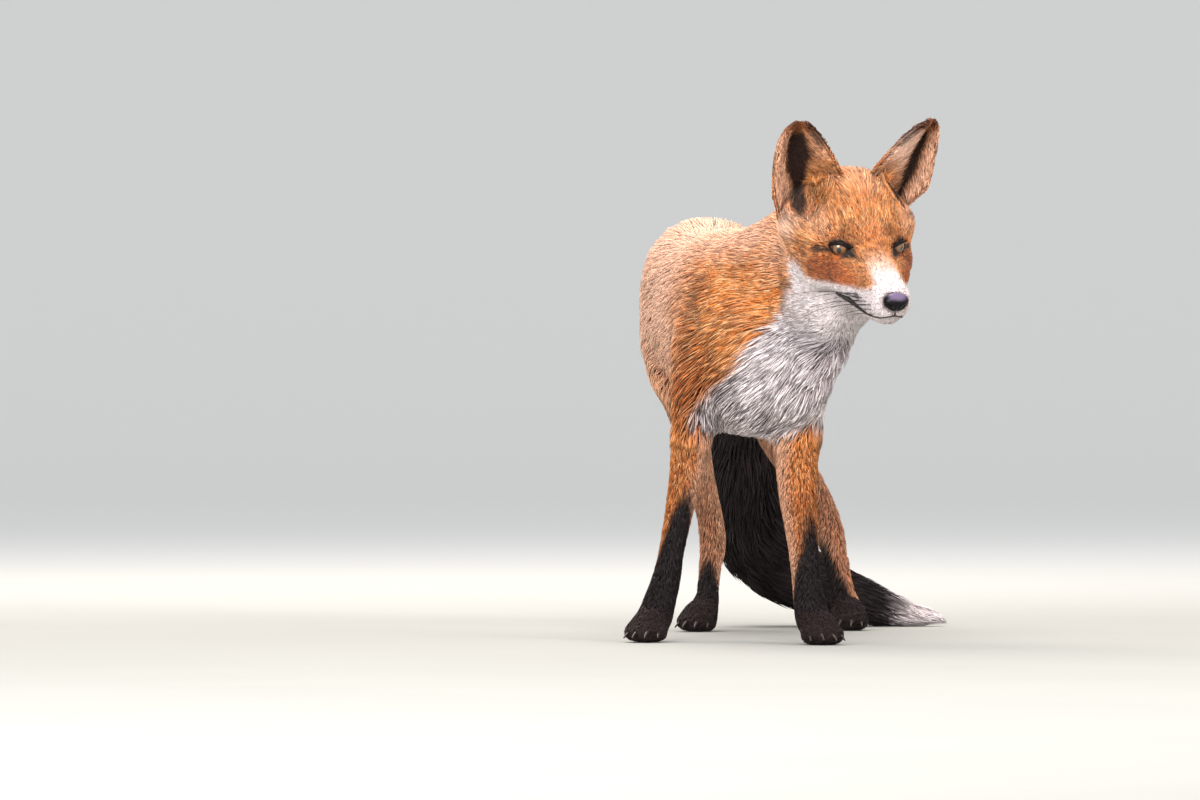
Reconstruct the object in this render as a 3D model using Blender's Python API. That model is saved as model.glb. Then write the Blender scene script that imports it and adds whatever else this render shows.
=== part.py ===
"""Life-size red fox, standing square on four feet with its head turned to its left.

The animal is drawn in its own frame in millimetres: -Y is the way it faces, +X is its left
and +Z is up, with the ground at zero. Each limb, the trunk and the tail is a loft along the
line of its bones, out to the tips of the coat. The lofts of flesh are fused into one skin,
made lighter, and parted by thin gaps at the joints a person would name. The head is drawn
straight, with the point midway between the eyes as its origin, and is then turned and bowed.
At the end everything moves so that the origin is below the middle of the fox, on the ground.
"""

import math

import bmesh
import bpy
from mathutils import Matrix, Vector

MM = 0.001
GAP = 0.3  # clearance between neighbouring solids, mm

# Carriage of the head: where the point between the eyes is, and how the head is turned.
EYE_MIDPOINT = Vector((93.6, -270.0, 359.0))
HEAD_YAW = math.radians(23.5)
HEAD_PITCH = math.radians(25.0)
HEAD_ROLL = math.radians(2.0)

# Fineness of the fused skins and the triangles that each keeps.
BODY_VOXEL = 3.5
HEAD_VOXEL = 1.8
BODY_TRIANGLES = 3300
HEAD_TRIANGLES = 1400

# Trunk, from the rump to the breast: x, y, z, half width, half height up, half height down.
TRUNK = (
    (-37, 263, 306, 22, 28, 32),
    (-41, 246, 312, 48, 62, 62),
    (-45, 205, 319, 64, 80, 74),
    (-46, 150, 318, 67, 79, 70),
    (-45, 95, 311, 66, 77, 70),
    (-37, 40, 304, 66, 80, 82),
    (-26, -20, 296, 69, 89, 96),
    (-16, -80, 286, 71, 97, 100),
    (-8, -130, 268, 68, 94, 86),
    (2, -175, 250, 58, 76, 68),
    (12, -205, 240, 40, 52, 52),
    (20, -222, 236, 14, 18, 20),
)

# Neck, from the withers to the nape; the bib hangs below it.
NECK = (
    (-16, -60, 318, 50, 56, 56),
    (-4, -105, 320, 60, 63, 74),
    (18, -145, 332, 60, 57, 84),
    (40, -176, 350, 56, 52, 90),
    (60, -205, 372, 53, 49, 82),
    (74, -228, 382, 46, 43, 50),
)

# Bib, the ruff of long hair from the throat down to the breast.
BIB = (
    (68, -230, 322, 22, 26, 16),
    (64, -228, 294, 26, 34, 20),
    (51, -217, 260, 27, 40, 24),
    (35, -206, 232, 27, 44, 26),
    (24, -194, 206, 25, 44, 22),
)

# Tail, from the rump down behind the hocks and along the ground to its tip.
TAIL = (
    (-34, 246, 338, 16, 18, 18),
    (-30, 268, 326, 20, 21, 21),
    (-25, 288, 292, 26, 26, 26),
    (-17, 304, 238, 34, 33, 33),
    (-8, 313, 178, 40, 37, 37),
    (-6, 315, 120, 42, 36, 36),
    (8, 312, 72, 43, 37, 37),
    (54, 307, 44, 34, 32, 34),
    (100, 303, 27, 27, 28, 26),
    (136, 300, 17, 22, 20, 19),
    (168, 298, 10, 14, 12, 12),
    (194, 297, 5, 4, 4, 6),
)

# Limbs, from the shoulder or hip down: x, y, z, half width, depth behind, depth in front.
FORELEG_RIGHT = (
    (-40, -70, 350, 14, 30, 30),
    (-50, -98, 312, 25, 50, 42),
    (-57, -130, 270, 29, 54, 46),
    (-61, -138, 228, 26, 44, 40),
    (-65, -134, 192, 20.5, 31, 30),
    (-69, -140, 160, 17.5, 22, 21),
    (-75, -148, 130, 14.5, 18, 18),
    (-84, -155, 84, 12.5, 15, 14.5),
    (-89, -159, 56, 14.5, 15, 15),
    (-95, -163, 38, 16, 16, 17),
    (-100, -166, 18, 17, 17, 20),
)
FORELEG_LEFT = (
    (14, -92, 352, 14, 28, 24),
    (26, -122, 315, 26, 46, 36),
    (31, -156, 270, 29, 48, 42),
    (33, -168, 228, 27, 42, 38),
    (32, -168, 192, 23, 31, 30),
    (30, -182, 160, 20, 22, 21),
    (31, -195, 130, 18, 19, 18),
    (35, -209, 94, 15.5, 16, 15),
    (38, -222, 58, 14.3, 15, 15),
    (40, -230, 40, 15.5, 16, 17),
    (44, -236, 18, 17, 17, 20),
)
HINDLEG_RIGHT = (
    (-70, 190, 348, 18, 46, 38),
    (-80, 170, 302, 30, 64, 48),
    (-82, 145, 256, 26, 60, 44),
    (-67, 130, 214, 18, 46, 34),
    (-60, 144, 178, 15, 32, 25),
    (-54, 165, 145, 14, 24, 18),
    (-45, 186, 112, 13, 20, 14),
    (-41, 194, 84, 14.5, 17, 14),
    (-44, 183, 58, 12.5, 13, 13),
    (-46, 169, 36, 12.5, 12, 13),
    (-50, 157, 18, 15, 14, 17),
)
HINDLEG_LEFT = (
    (-20, 207, 348, 18, 46, 38),
    (-8, 190, 302, 31, 62, 48),
    (4, 168, 256, 30, 56, 44),
    (14, 154, 214, 25, 46, 34),
    (28, 172, 178, 19, 32, 25),
    (46, 197, 147, 16, 24, 18),
    (62, 216, 122, 14.5, 20, 15),
    (73, 225, 98, 14, 17, 14),
    (79, 215, 68, 13.5, 13, 13),
    (84, 203, 40, 13.5, 12, 13),
    (88, 193, 18, 16, 14, 17),
)

# Paws: node ending, where the pad's middle rests, and the heading of the toes, degrees
# towards the fox's left from straight ahead.
PAWS = (
    ("fore", "right", (-104, -176), -14),
    ("fore", "left", (48, -246), 12),
    ("hind", "right", (-53, 146), -16),
    ("hind", "left", (91, 183), -8),
)
# The pad of one paw, drawn about the paw's middle with the toes ahead: its middle and radii.
PAD = ((0, -2, 15), (18, 24, 17))
# Toes of one paw: sideways place, forward place, spread in degrees, claw length.
TOES = ((-13.5, 15, -12, 10), (-5.2, 26, -3, 11), (5.2, 26, 3, 11), (13.5, 15, 12, 10))
TOE_RADII = (8, 15, 10)
TOE_HEIGHT = 9

# Head, straight and level, from the nose back to the nape.
SKULL = (
    (0, -26, -18, 17, 18, 20),
    (0, -12, -16, 20, 21, 24),
    (0, 0, -12, 27, 22, 30),
    (0, 10, -8, 38, 27, 36),
    (0, 22, -4, 51, 34, 42),
    (0, 38, 0, 63, 43, 48),
    (0, 54, 2, 68, 49, 52),
    (0, 72, -2, 64, 45, 52),
    (0, 88, -9, 51, 37, 46),
    (0, 98, -16, 34, 20, 34),
)
MUZZLE = (
    (0, -72, -25, 9, 8, 9),
    (0, -68, -25, 15.5, 12, 13),
    (0, -60, -26, 19, 14.5, 17),
    (0, -50, -26, 20.5, 17, 20),
    (0, -36, -25, 22, 20, 22),
    (0, -22, -23, 24.5, 22, 24),
    (0, -8, -21, 27, 24, 26),
    (0, 8, -18, 32, 24, 30),
    (0, 22, -14, 38, 26, 38),
)
JAW = (
    (0, -66, -42, 6, 5, 4),
    (0, -61, -43, 10.5, 6, 6),
    (0, -50, -44, 13.5, 7, 7),
    (0, -34, -45, 16, 8, 9),
    (0, -16, -46, 19, 9, 11),
    (0, 4, -45, 24, 12, 15),
    (0, 26, -40, 30, 14, 22),
    (0, 44, -34, 34, 14, 28),
)
# Middle and radii of the left cheek's ruff, of the fill below the eye, and of the brow.
CHEEK = ((35, 32, -24), (22, 36, 28))
MALAR = ((24, -2, -23), (18, 26, 20))
BROW = ((19, 6, 6), (13, 12, 7))

# The slit of the mouth, seen from the side, from the lip's middle back past the corner.
MOUTH_LINE = ((-90, -36.5), (-71, -37), (-58, -42), (-46, -45.5), (-30, -46), (-10, -45))
MOUTH_BLOCK = (40, -100)  # half width and depth of the block below that line

EYE_CENTRE = (25.6, 6.2, -0.3)
EYE_RADIUS = 9.4
EYE_OUTWARD = math.radians(37)  # how far each eye looks to its own side
LID_RADII = (12.5, 15, 6.8)  # the almond between the lids: half width, depth, half height
NOSE_MIDDLE = (0, -68.5, -21.8)
NOSE_RADII = (12.8, 8.2, 9.8)

# Left ear: where its two edges leave the head, and its tip. Each edge bows on the way up.
EAR_INNER = (Vector((19, 50, 58)), Vector((40, 46, 94)), Vector((64.5, 45, 106)))
EAR_OUTER = (Vector((72, 52, 4)), Vector((88, 66, 92)), Vector((64.5, 45, 106)))
EAR_CUP = 0.36  # depth of the cup behind the line between its edges, as a share of it
EAR_WALL = 4.0
EAR_BACK = Vector((0.12, 1, -0.2)).normalized()  # the way the cup bulges
EAR_ROWS = 8
EAR_COLUMNS = 7
EAR_END = 0.97  # share of the way to the tip where the leaf ends, blunt
CONCHA = ((49, 44, 40), (18, 15, 29))  # the funnel that the left ear leads down into

# Directions across the neck and the hindquarters, and the planes and blocks that part the
# body: a point on each plane with the way out of the trunk, and for each limb the inner and
# outer x, the y in front and behind, and the height at the inner and outer side.
NECK_LATERAL = (0.84, 0.54, 0)
HIND_LATERAL = (0.96, -0.28, 0)
NECK_BASE = ((16, -128, 318), (0.45, -0.62, 0.64))
TAIL_BASE = ((0, 264, 0), (0, 1, 0))
TAIL_UPPER = ((0, 310, 232), (0, -0.1, -1))
TAIL_LOWER = ((24, 312, 70), (0.7, 0, -0.7))
LIMB_BLOCKS = (
    (-34, -150, -260, -60, 178, 232),
    (2, 110, -300, -90, 178, 226),
    (-19, -150, 60, 262, 200, 272),
    (-18, 130, 60, 262, 200, 272),
)
PAW_HEIGHT = 30
BELOW_GROUND = -20  # how far the blocks reach down, mm
# The head's block: half width, and where it ends behind, in front, above and below, in the
# head's own frame leaned back so that its rear face runs from the nape to the throat.
HEAD_BLOCK = (95, 64, -130, 150, -72)
HEAD_BLOCK_LEAN = math.radians(-23)
HEAD_SPARE = 20  # how much more of the head and of the body is kept until they are lighter
BODY_SPARE = 4
CLAW_DROOP = 14  # degrees below level
CLAW_HEIGHT = 7.5
CLAW_RADII = (2.3, 0.6)
CLAW_ROOT = 8  # length inside the toe
CLAW_REACH = 11  # from the middle of the toe to the middle of the claw

COLOURS = {
    "coat": (0.62, 0.22, 0.07, 0.85),
    "dark_coat": (0.03, 0.02, 0.02, 0.85),
    "nose": (0.02, 0.015, 0.02, 0.35),
    "eye": (0.35, 0.2, 0.06, 0.08),
    "claw": (0.05, 0.04, 0.035, 0.4),
}


def material(name):
    """The material of this name, made on first use: red, green, blue and roughness."""
    found = bpy.data.materials.get(name)
    if found:
        return found
    red, green, blue, roughness = COLOURS[name]
    made = bpy.data.materials.new(name)
    made.use_nodes = True
    shader = made.node_tree.nodes["Principled BSDF"]
    shader.inputs["Base Color"].default_value = (red, green, blue, 1)
    shader.inputs["Roughness"].default_value = roughness
    shader.inputs["Metallic"].default_value = 0
    made.diffuse_color = (red, green, blue, 1)
    return made


def smooth_path(stations, steps):
    """Stations with `steps` spans between each pair, on a Catmull-Rom curve through them."""
    path = []
    last = len(stations) - 1
    for index in range(last):
        before = stations[max(index - 1, 0)]
        start, end = stations[index], stations[index + 1]
        after = stations[min(index + 2, last)]
        for step in range(steps):
            t = step / steps
            weights = (
                (-t + 2 * t**2 - t**3) / 2,
                (2 - 5 * t**2 + 3 * t**3) / 2,
                (t + 4 * t**2 - 3 * t**3) / 2,
                (-(t**2) + t**3) / 2,
            )
            row = zip(before, start, end, after)
            path.append([sum(w * v for w, v in zip(weights, values)) for values in row])
    path.append(list(stations[-1]))
    return path


def squared(value, power):
    """Value with its size raised to a power below one, which squares a round section."""
    return math.copysign(abs(value) ** power, value)


def add_loft(bm, stations, lateral=(1, 0, 0), sides=20, steps=4, fullness=2.3):
    """Adds a closed tube through the stations, whose width lies along `lateral`."""
    path = smooth_path(stations, steps)
    power = 2 / fullness
    rings = []
    for index, (x, y, z, wide, up, down) in enumerate(path):
        ahead = Vector(path[min(index + 1, len(path) - 1)][:3])
        behind = Vector(path[max(index - 1, 0)][:3])
        along = (ahead - behind).normalized()
        side = Vector(lateral)
        side = (side - side.dot(along) * along).normalized()
        rise = side.cross(along)
        ring = bmesh.ops.create_circle(bm, segments=sides, radius=1)["verts"]
        for corner in ring:
            across, height = squared(corner.co.x, power), squared(corner.co.y, power)
            lift = height * (up if height > 0 else down)
            corner.co = Vector((x, y, z)) + side * across * max(wide, 0.5) + rise * lift
        rings.append(list({edge for corner in ring for edge in corner.link_edges}))
    for first, second in zip(rings, rings[1:]):
        bmesh.ops.bridge_loops(bm, edges=first + second)
    bmesh.ops.holes_fill(bm, edges=rings[0] + rings[-1], sides=sides)


def add_ball(bm, middle, radii, turn=None):
    """Adds an ellipsoid, turned about its own middle."""
    place = Matrix.Translation(Vector(middle)) @ (turn or Matrix())
    size = Matrix.Diagonal((*radii, 1))
    bmesh.ops.create_icosphere(bm, subdivisions=3, radius=1, matrix=place @ size)


def head_matrix():
    """Takes the straight head, drawn about the point between its eyes, to its place."""
    roll = Matrix.Rotation(-HEAD_ROLL, 4, "Y")
    bow = Matrix.Rotation(HEAD_PITCH, 4, "X")
    turn = Matrix.Rotation(HEAD_YAW, 4, "Z")
    return Matrix.Translation(EYE_MIDPOINT) @ turn @ bow @ roll


def new_object(name, bm, material_name):
    """Makes an object in metres from a mesh in millimetres, facing out."""
    bmesh.ops.recalc_face_normals(bm, faces=bm.faces)
    bm.transform(Matrix.Scale(MM, 4))
    mesh = bpy.data.meshes.new(name)
    bm.to_mesh(mesh)
    bm.free()
    made = bpy.data.objects.new(name, mesh)
    bpy.context.scene.collection.objects.link(made)
    mesh.materials.append(material(material_name))
    return made


def apply_modifiers(thing):
    """Bakes the modifiers of an object into its mesh."""
    bpy.context.view_layer.update()
    evaluated = thing.evaluated_get(bpy.context.evaluated_depsgraph_get())
    mesh = bpy.data.meshes.new_from_object(evaluated)
    thing.modifiers.clear()
    thing.data = mesh


def fuse(thing, voxel, smoothing):
    """Fuses overlapping closed shapes into one skin and eases its creases."""
    remesh = thing.modifiers.new("fuse", "REMESH")
    remesh.mode = "VOXEL"
    remesh.voxel_size = voxel * MM
    ease = thing.modifiers.new("ease", "SMOOTH")
    ease.factor = 0.5
    ease.iterations = smoothing
    apply_modifiers(thing)


def lighten(thing, triangles):
    """Reduces a skin to about this many triangles."""
    thing.data.calc_loop_triangles()
    reduce = thing.modifiers.new("lighten", "DECIMATE")
    reduce.ratio = triangles / len(thing.data.loop_triangles)
    apply_modifiers(thing)


def cut(thing, point, outward):
    """Takes off what lies beyond a plane and closes the flat face that is left."""
    bm = bmesh.new()
    bm.from_mesh(thing.data)
    every = bm.verts[:] + bm.edges[:] + bm.faces[:]
    place = Vector(point) * MM
    cut_edges = bmesh.ops.bisect_plane(
        bm, geom=every, dist=1e-7, plane_co=place, plane_no=Vector(outward), clear_outer=True
    )["geom_cut"]
    rim = [piece for piece in cut_edges if isinstance(piece, bmesh.types.BMEdge)]
    bmesh.ops.holes_fill(bm, edges=rim, sides=0)
    bmesh.ops.recalc_face_normals(bm, faces=bm.faces)
    bm.to_mesh(thing.data)
    bm.free()


def copy_of(thing, name):
    """A second object with its own copy of the mesh."""
    twin = bpy.data.objects.new(name, thing.data.copy())
    bpy.context.scene.collection.objects.link(twin)
    return twin


def remove(thing):
    """Deletes an object that has done its work."""
    bpy.data.objects.remove(thing)


def boolean(thing, tool, operation):
    """Applies an exact Boolean with another closed object."""
    step = thing.modifiers.new(operation.lower(), "BOOLEAN")
    step.operation = operation
    step.solver = "EXACT"
    step.object = tool
    apply_modifiers(thing)


def split_plane(thing, name, point, outward):
    """Parts a thing at a plane. What lies beyond it becomes a new object of this name."""
    direction = Vector(outward).normalized()
    beyond = copy_of(thing, name)
    cut(beyond, Vector(point) + direction * GAP / 2, -direction)
    cut(thing, Vector(point) - direction * GAP / 2, direction)
    return beyond


def wedge(x_inner, x_outer, y_front, y_back, z_inner, z_outer, grow):
    """Block that a limb is parted with: its top slopes up from the groin to the flank."""
    bm = bmesh.new()
    bmesh.ops.create_cube(bm, size=1)
    outward = 1 if x_outer > x_inner else -1
    for corner in bm.verts:
        inner = corner.co.x * outward < 0
        corner.co.x = x_inner - outward * grow if inner else x_outer + outward * grow
        corner.co.y = y_front - grow if corner.co.y < 0 else y_back + grow
        top = (z_inner if inner else z_outer) + grow
        corner.co.z = BELOW_GROUND if corner.co.z < 0 else top
    tool = new_object("wedge", bm, "coat")
    tool.hide_render = True
    tool.display_type = "WIRE"
    return tool


def split_limb(body, name, block):
    """Parts a limb from the body with a block and returns it."""
    limb = copy_of(body, name)
    inner = wedge(*block, grow=0)
    boolean(limb, inner, "INTERSECT")
    remove(inner)
    outer = wedge(*block, grow=GAP)
    boolean(body, outer, "DIFFERENCE")
    remove(outer)
    return limb


def paw_matrix(place, heading):
    """Takes a paw drawn straight ahead about its middle to its place on the ground."""
    turn = Matrix.Rotation(math.radians(heading), 4, "Z")
    return Matrix.Translation(Vector((*place, 0))) @ turn


def add_paw(bm, place, heading):
    """Adds one paw: a furred pad and four toes that fan out a little."""
    frame = paw_matrix(place, heading)
    middle, radii = PAD
    add_ball(bm, frame @ Vector(middle), radii, frame.to_3x3().to_4x4())
    for sideways, forward, spread, _ in TOES:
        turn = Matrix.Rotation(math.radians(heading + spread), 4, "Z")
        add_ball(bm, frame @ Vector((sideways, -forward, TOE_HEIGHT)), TOE_RADII, turn)


def fused_body():
    """Trunk, neck, tail, limbs and paws as one skin, flat where it rests on the ground."""
    bm = bmesh.new()
    add_loft(bm, SKULL, sides=24, fullness=2.1)
    bm.transform(head_matrix())
    add_loft(bm, tuple(reversed(TRUNK)))
    add_loft(bm, tuple(reversed(NECK)), lateral=NECK_LATERAL)
    add_loft(bm, BIB, lateral=NECK_LATERAL)
    add_loft(bm, TAIL[:7], fullness=2.0)
    add_loft(bm, TAIL[4:], lateral=(0, 1, 0), fullness=2.0)
    for limb in (FORELEG_RIGHT, FORELEG_LEFT):
        add_loft(bm, limb, fullness=2.1)
    for limb in (HINDLEG_RIGHT, HINDLEG_LEFT):
        add_loft(bm, limb, lateral=HIND_LATERAL, fullness=2.1)
    for _, _, place, heading in PAWS:
        add_paw(bm, place, heading)
    body = new_object("trunk", bm, "coat")
    fuse(body, BODY_VOXEL, 12)
    trim(body, "DIFFERENCE", -BODY_SPARE)
    lighten(body, BODY_TRIANGLES)
    trim(body, "DIFFERENCE", GAP)
    cut(body, (0, 0, 0), (0, 0, -1))
    return body


def fused_head():
    """Skull, muzzle, jaw, cheeks and brows as one skin that runs on into the neck."""
    bm = bmesh.new()
    add_loft(bm, SKULL, sides=32, fullness=2.1)
    add_loft(bm, MUZZLE, sides=32, fullness=2.9)
    add_loft(bm, JAW, sides=24)
    for side in (-1, 1):
        for (x, y, z), radii in (CHEEK, MALAR, BROW):
            add_ball(bm, (x * side, y, z), radii)
    bm.transform(head_matrix())
    add_loft(bm, tuple(reversed(NECK)), lateral=NECK_LATERAL)
    add_loft(bm, BIB, lateral=NECK_LATERAL)
    head = new_object("head", bm, "coat")
    fuse(head, HEAD_VOXEL, 10)
    trim(head, "INTERSECT", HEAD_SPARE)
    return head


def head_block(grow):
    """Block that holds the head: it ends at the nape, behind the ears, and at the throat."""
    bm = bmesh.new()
    bmesh.ops.create_cube(bm, size=1)
    width, back, front, top, bottom = HEAD_BLOCK
    for corner in bm.verts:
        corner.co.x *= 2 * width
        corner.co.y = front if corner.co.y < 0 else back + grow
        corner.co.z = bottom - grow if corner.co.z < 0 else top
    lean = Matrix.Rotation(HEAD_BLOCK_LEAN, 4, "X")
    bm.transform(head_matrix() @ lean)
    return new_object("head_block", bm, "coat")


def trim(thing, operation, grow):
    """Keeps or takes away what lies in the head's block."""
    block = head_block(grow)
    boolean(thing, block, operation)
    remove(block)


def bend(points, t):
    """The point at t on the quadratic curve of three points."""
    start, middle, end = points
    return start * (1 - t) ** 2 + middle * 2 * t * (1 - t) + end * t**2


def ear(name, side):
    """One ear: a cupped leaf whose open side faces ahead, rounded at its tip."""
    bm = bmesh.new()
    rings = []
    for row in range(EAR_ROWS + 1):
        t = EAR_END * row / EAR_ROWS
        inner, outer = bend(EAR_INNER, t), bend(EAR_OUTER, t)
        chord = outer - inner
        wall = EAR_WALL * (1 - 0.45 * t)
        front, rear = [], []
        for column in range(EAR_COLUMNS + 1):
            u = column / EAR_COLUMNS
            bulge = math.sin(math.pi * u) ** 0.8
            middle = inner + chord * u + EAR_BACK * EAR_CUP * chord.length * bulge
            lean = (u - 0.5) * chord.normalized()
            rear.append(middle + (EAR_BACK * (0.3 + bulge) + lean) * wall / 2)
            front.append(middle - (EAR_BACK * (0.3 + bulge) + lean * 0.3) * wall / 2)
        rings.append([bm.verts.new(place) for place in rear + list(reversed(front))])
    for lower, upper in zip(rings, rings[1:]):
        for index in range(len(lower)):
            following = (index + 1) % len(lower)
            bm.faces.new((lower[index], lower[following], upper[following], upper[index]))
    for ring in (rings[0], rings[-1]):
        for index in range(EAR_COLUMNS):
            opposite = len(ring) - 1 - index
            bm.faces.new((ring[index], ring[index + 1], ring[opposite - 1], ring[opposite]))
    if side < 0:
        bm.transform(Matrix.Scale(-1, 4, (1, 0, 0)))
    bm.transform(head_matrix())
    return new_object(name, bm, "coat")


def ball(name, middle, radii, material_name="coat", turn=0.0):
    """An ellipsoid of the head, turned about the upright through its middle."""
    bm = bmesh.new()
    place = Matrix.Translation(Vector(middle)) @ Matrix.Rotation(turn, 4, "Z")
    shape = place @ Matrix.Diagonal((*radii, 1))
    bmesh.ops.create_uvsphere(bm, u_segments=14, v_segments=8, radius=1, matrix=shape)
    bm.transform(head_matrix())
    return new_object(name, bm, material_name)


def hollow(thing, middle, radii, turn=0.0):
    """Takes an ellipsoid out of a thing."""
    tool = ball("hollow", middle, radii, turn=turn)
    boolean(thing, tool, "DIFFERENCE")
    remove(tool)


def swollen(thing, name):
    """A copy whose surface stands out by the clearance, to trim a neighbour with."""
    twin = copy_of(thing, name)
    swell = twin.modifiers.new("swell", "DISPLACE")
    swell.strength = GAP * MM
    swell.mid_level = 0
    apply_modifiers(twin)
    return twin


def jaw_block(grow):
    """Block below the line of the mouth, back to behind its corner."""
    bm = bmesh.new()
    half_width, depth = MOUTH_BLOCK
    line = [(-half_width, y, z + grow) for y, z in MOUTH_LINE]
    line[-1] = (line[-1][0], line[-1][1] + grow, line[-1][2])
    corners = line + [(line[-1][0], line[-1][1], depth), (line[0][0], line[0][1], depth)]
    face = bm.faces.new([bm.verts.new(corner) for corner in corners])
    pulled = bmesh.ops.extrude_face_region(bm, geom=[face])["geom"]
    moved = [piece for piece in pulled if isinstance(piece, bmesh.types.BMVert)]
    across = Vector((2 * half_width, 0, 0))
    bmesh.ops.translate(bm, verts=moved, vec=across)
    bm.transform(head_matrix())
    return new_object("jaw_block", bm, "coat")


def finish_head(head):
    """Parts the ears, eyes, nose and lower jaw from the head and ends it at the nape."""
    lighten(head, HEAD_TRIANGLES)
    for side in (-1, 1):
        (x, y, z), radii = CONCHA
        hollow(head, (x * side, y, z), radii)
    envelope = swollen(head, "envelope")
    for name, side in (("left", 1), ("right", -1)):
        leaf = ear("ear_" + name, side)
        boolean(leaf, envelope, "DIFFERENCE")
        x, y, z = EYE_CENTRE
        centre = (x * side, y, z)
        hollow(head, centre, [EYE_RADIUS + GAP] * 3)
        hollow(head, centre, LID_RADII, turn=EYE_OUTWARD * side)
        ball("eye_" + name, centre, [EYE_RADIUS] * 3, "eye")
    remove(envelope)
    ball("nose", NOSE_MIDDLE, NOSE_RADII, "nose")
    hollow(head, NOSE_MIDDLE, [radius + GAP for radius in NOSE_RADII])
    trim(head, "INTERSECT", 0)
    jaw = copy_of(head, "lower_jaw")
    for thing, grow, operation in ((jaw, 0, "INTERSECT"), (head, GAP, "DIFFERENCE")):
        block = jaw_block(grow)
        boolean(thing, block, operation)
        remove(block)


def claws(paw, which, side, place, heading):
    """Four blunt claws that reach forward and down from the toes of one paw."""
    envelope = swollen(paw, "envelope")
    frame = paw_matrix(place, heading)
    for number, (sideways, forward, spread, length) in enumerate(TOES, start=1):
        bm = bmesh.new()
        bmesh.ops.create_cone(
            bm,
            cap_ends=True,
            segments=6,
            radius1=CLAW_RADII[0],
            radius2=CLAW_RADII[1],
            depth=length + CLAW_ROOT,
        )
        bm.transform(Matrix.Rotation(math.radians(90 + CLAW_DROOP), 4, "X"))
        turn = Matrix.Rotation(math.radians(spread), 4, "Z")
        tip = Matrix.Translation((sideways, -forward - CLAW_REACH, CLAW_HEIGHT))
        bm.transform(frame @ tip @ turn)
        claw = new_object(f"claw_{which}_{side}_{number}", bm, "claw")
        boolean(claw, envelope, "DIFFERENCE")
    remove(envelope)


def darken(thing):
    """Gives a thing the dark coat of the paws and the tail."""
    thing.data.materials.clear()
    thing.data.materials.append(material("dark_coat"))


def part_body(body):
    """Parts the neck, the tail's three lengths, the limbs and the paws from the trunk."""
    split_plane(body, "neck", *NECK_BASE)
    tail = split_plane(body, "tail_root", *TAIL_BASE)
    darken(tail)
    middle = split_plane(tail, "tail_middle", *TAIL_UPPER)
    split_plane(middle, "tail_tip", *TAIL_LOWER)
    for (which, side, place, heading), block in zip(PAWS, LIMB_BLOCKS):
        limb = split_limb(body, f"{which}leg_{side}", block)
        paw = split_plane(limb, f"{which}paw_{side}", (0, 0, PAW_HEIGHT), (0, 0, -1))
        darken(paw)
        claws(paw, which, side, place, heading)


def settle():
    """Moves everything so that the origin is on the ground below the fox's middle."""
    solids = [thing.data for thing in bpy.data.objects]
    places = [vert.co for mesh in solids for vert in mesh.vertices]
    low = [min(place[axis] for place in places) for axis in range(3)]
    high = [max(place[axis] for place in places) for axis in range(3)]
    shift = Vector(((low[0] + high[0]) / -2, (low[1] + high[1]) / -2, -low[2]))
    for mesh in solids:
        mesh.transform(Matrix.Translation(shift))
    return shift


def main():
    """Builds every solid of the fox and returns how far it moved to its origin."""
    for thing in list(bpy.data.objects):
        bpy.data.objects.remove(thing)
    finish_head(fused_head())
    part_body(fused_body())
    return settle()


if __name__ == "__main__":
    main()
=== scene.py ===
"""Looks of a life-size red fox: skin, coat, ears, eyes, nose, lips, whiskers and claws.

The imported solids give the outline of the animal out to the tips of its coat. One skin is drawn
inside them by the depth of the coat, and the coat grows from it: each tuft is a thin solid
spindle that follows the lie of the fur and ends at the outline. Skin and coat carry the same
markings, which are worked out from places on the body.

Named sizes are in millimetres. Meshes are in metres, in the row's frame: -Y is the way the
body faces, +X is the fox's left and +Z is up. Places on the head are given on a straight,
level head whose origin is midway between the eyes, and are then turned with it. A pair of
bounds reads: nothing at the first, all at the second. A spot is a soft ellipsoid: its middle,
its half extents, its soft edge as a share of them, and its strength.
"""

import logging
import math
from dataclasses import dataclass
from enum import Enum
from typing import Iterable, Optional, Sequence

import bmesh
import bpy
import numpy as np
from mathutils import Matrix, Vector
from mathutils.bvhtree import BVHTree


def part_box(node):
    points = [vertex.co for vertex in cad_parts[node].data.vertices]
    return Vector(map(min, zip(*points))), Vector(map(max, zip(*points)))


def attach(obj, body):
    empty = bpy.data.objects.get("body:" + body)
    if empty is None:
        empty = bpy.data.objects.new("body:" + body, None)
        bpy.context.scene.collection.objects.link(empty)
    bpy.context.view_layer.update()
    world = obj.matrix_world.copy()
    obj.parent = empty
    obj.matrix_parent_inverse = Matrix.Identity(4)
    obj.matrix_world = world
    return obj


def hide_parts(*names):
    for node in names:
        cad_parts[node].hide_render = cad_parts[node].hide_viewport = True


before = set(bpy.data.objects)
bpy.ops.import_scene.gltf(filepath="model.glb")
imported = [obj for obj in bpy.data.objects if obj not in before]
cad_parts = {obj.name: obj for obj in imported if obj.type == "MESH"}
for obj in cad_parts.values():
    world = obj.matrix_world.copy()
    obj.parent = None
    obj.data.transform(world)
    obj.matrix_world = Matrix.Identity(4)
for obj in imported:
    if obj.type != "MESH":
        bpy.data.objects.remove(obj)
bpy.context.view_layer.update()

LOG = logging.getLogger("fox")
MM = 0.001
BODY = "root"
SEED = 7
TINY = 1e-12
WELD = 1e-6  # points closer than this, in metres, are one

LEGS = ("foreleg_left", "foreleg_right", "hindleg_left", "hindleg_right")
PAWS = ("forepaw_left", "forepaw_right", "hindpaw_left", "hindpaw_right")
TAIL = ("tail_root", "tail_middle", "tail_tip")
EARS = ("ear_left", "ear_right")
ON_HEAD = ("head", "lower_jaw")
FLESH = (*ON_HEAD, "neck", "trunk", *LEGS, *PAWS, *TAIL)

Array = np.ndarray
Pair = tuple[float, float]
Place = tuple[float, float, float]
Spot = tuple[Place, Place, float, float]


# ---------------------------------------------------------------- small helpers


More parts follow.
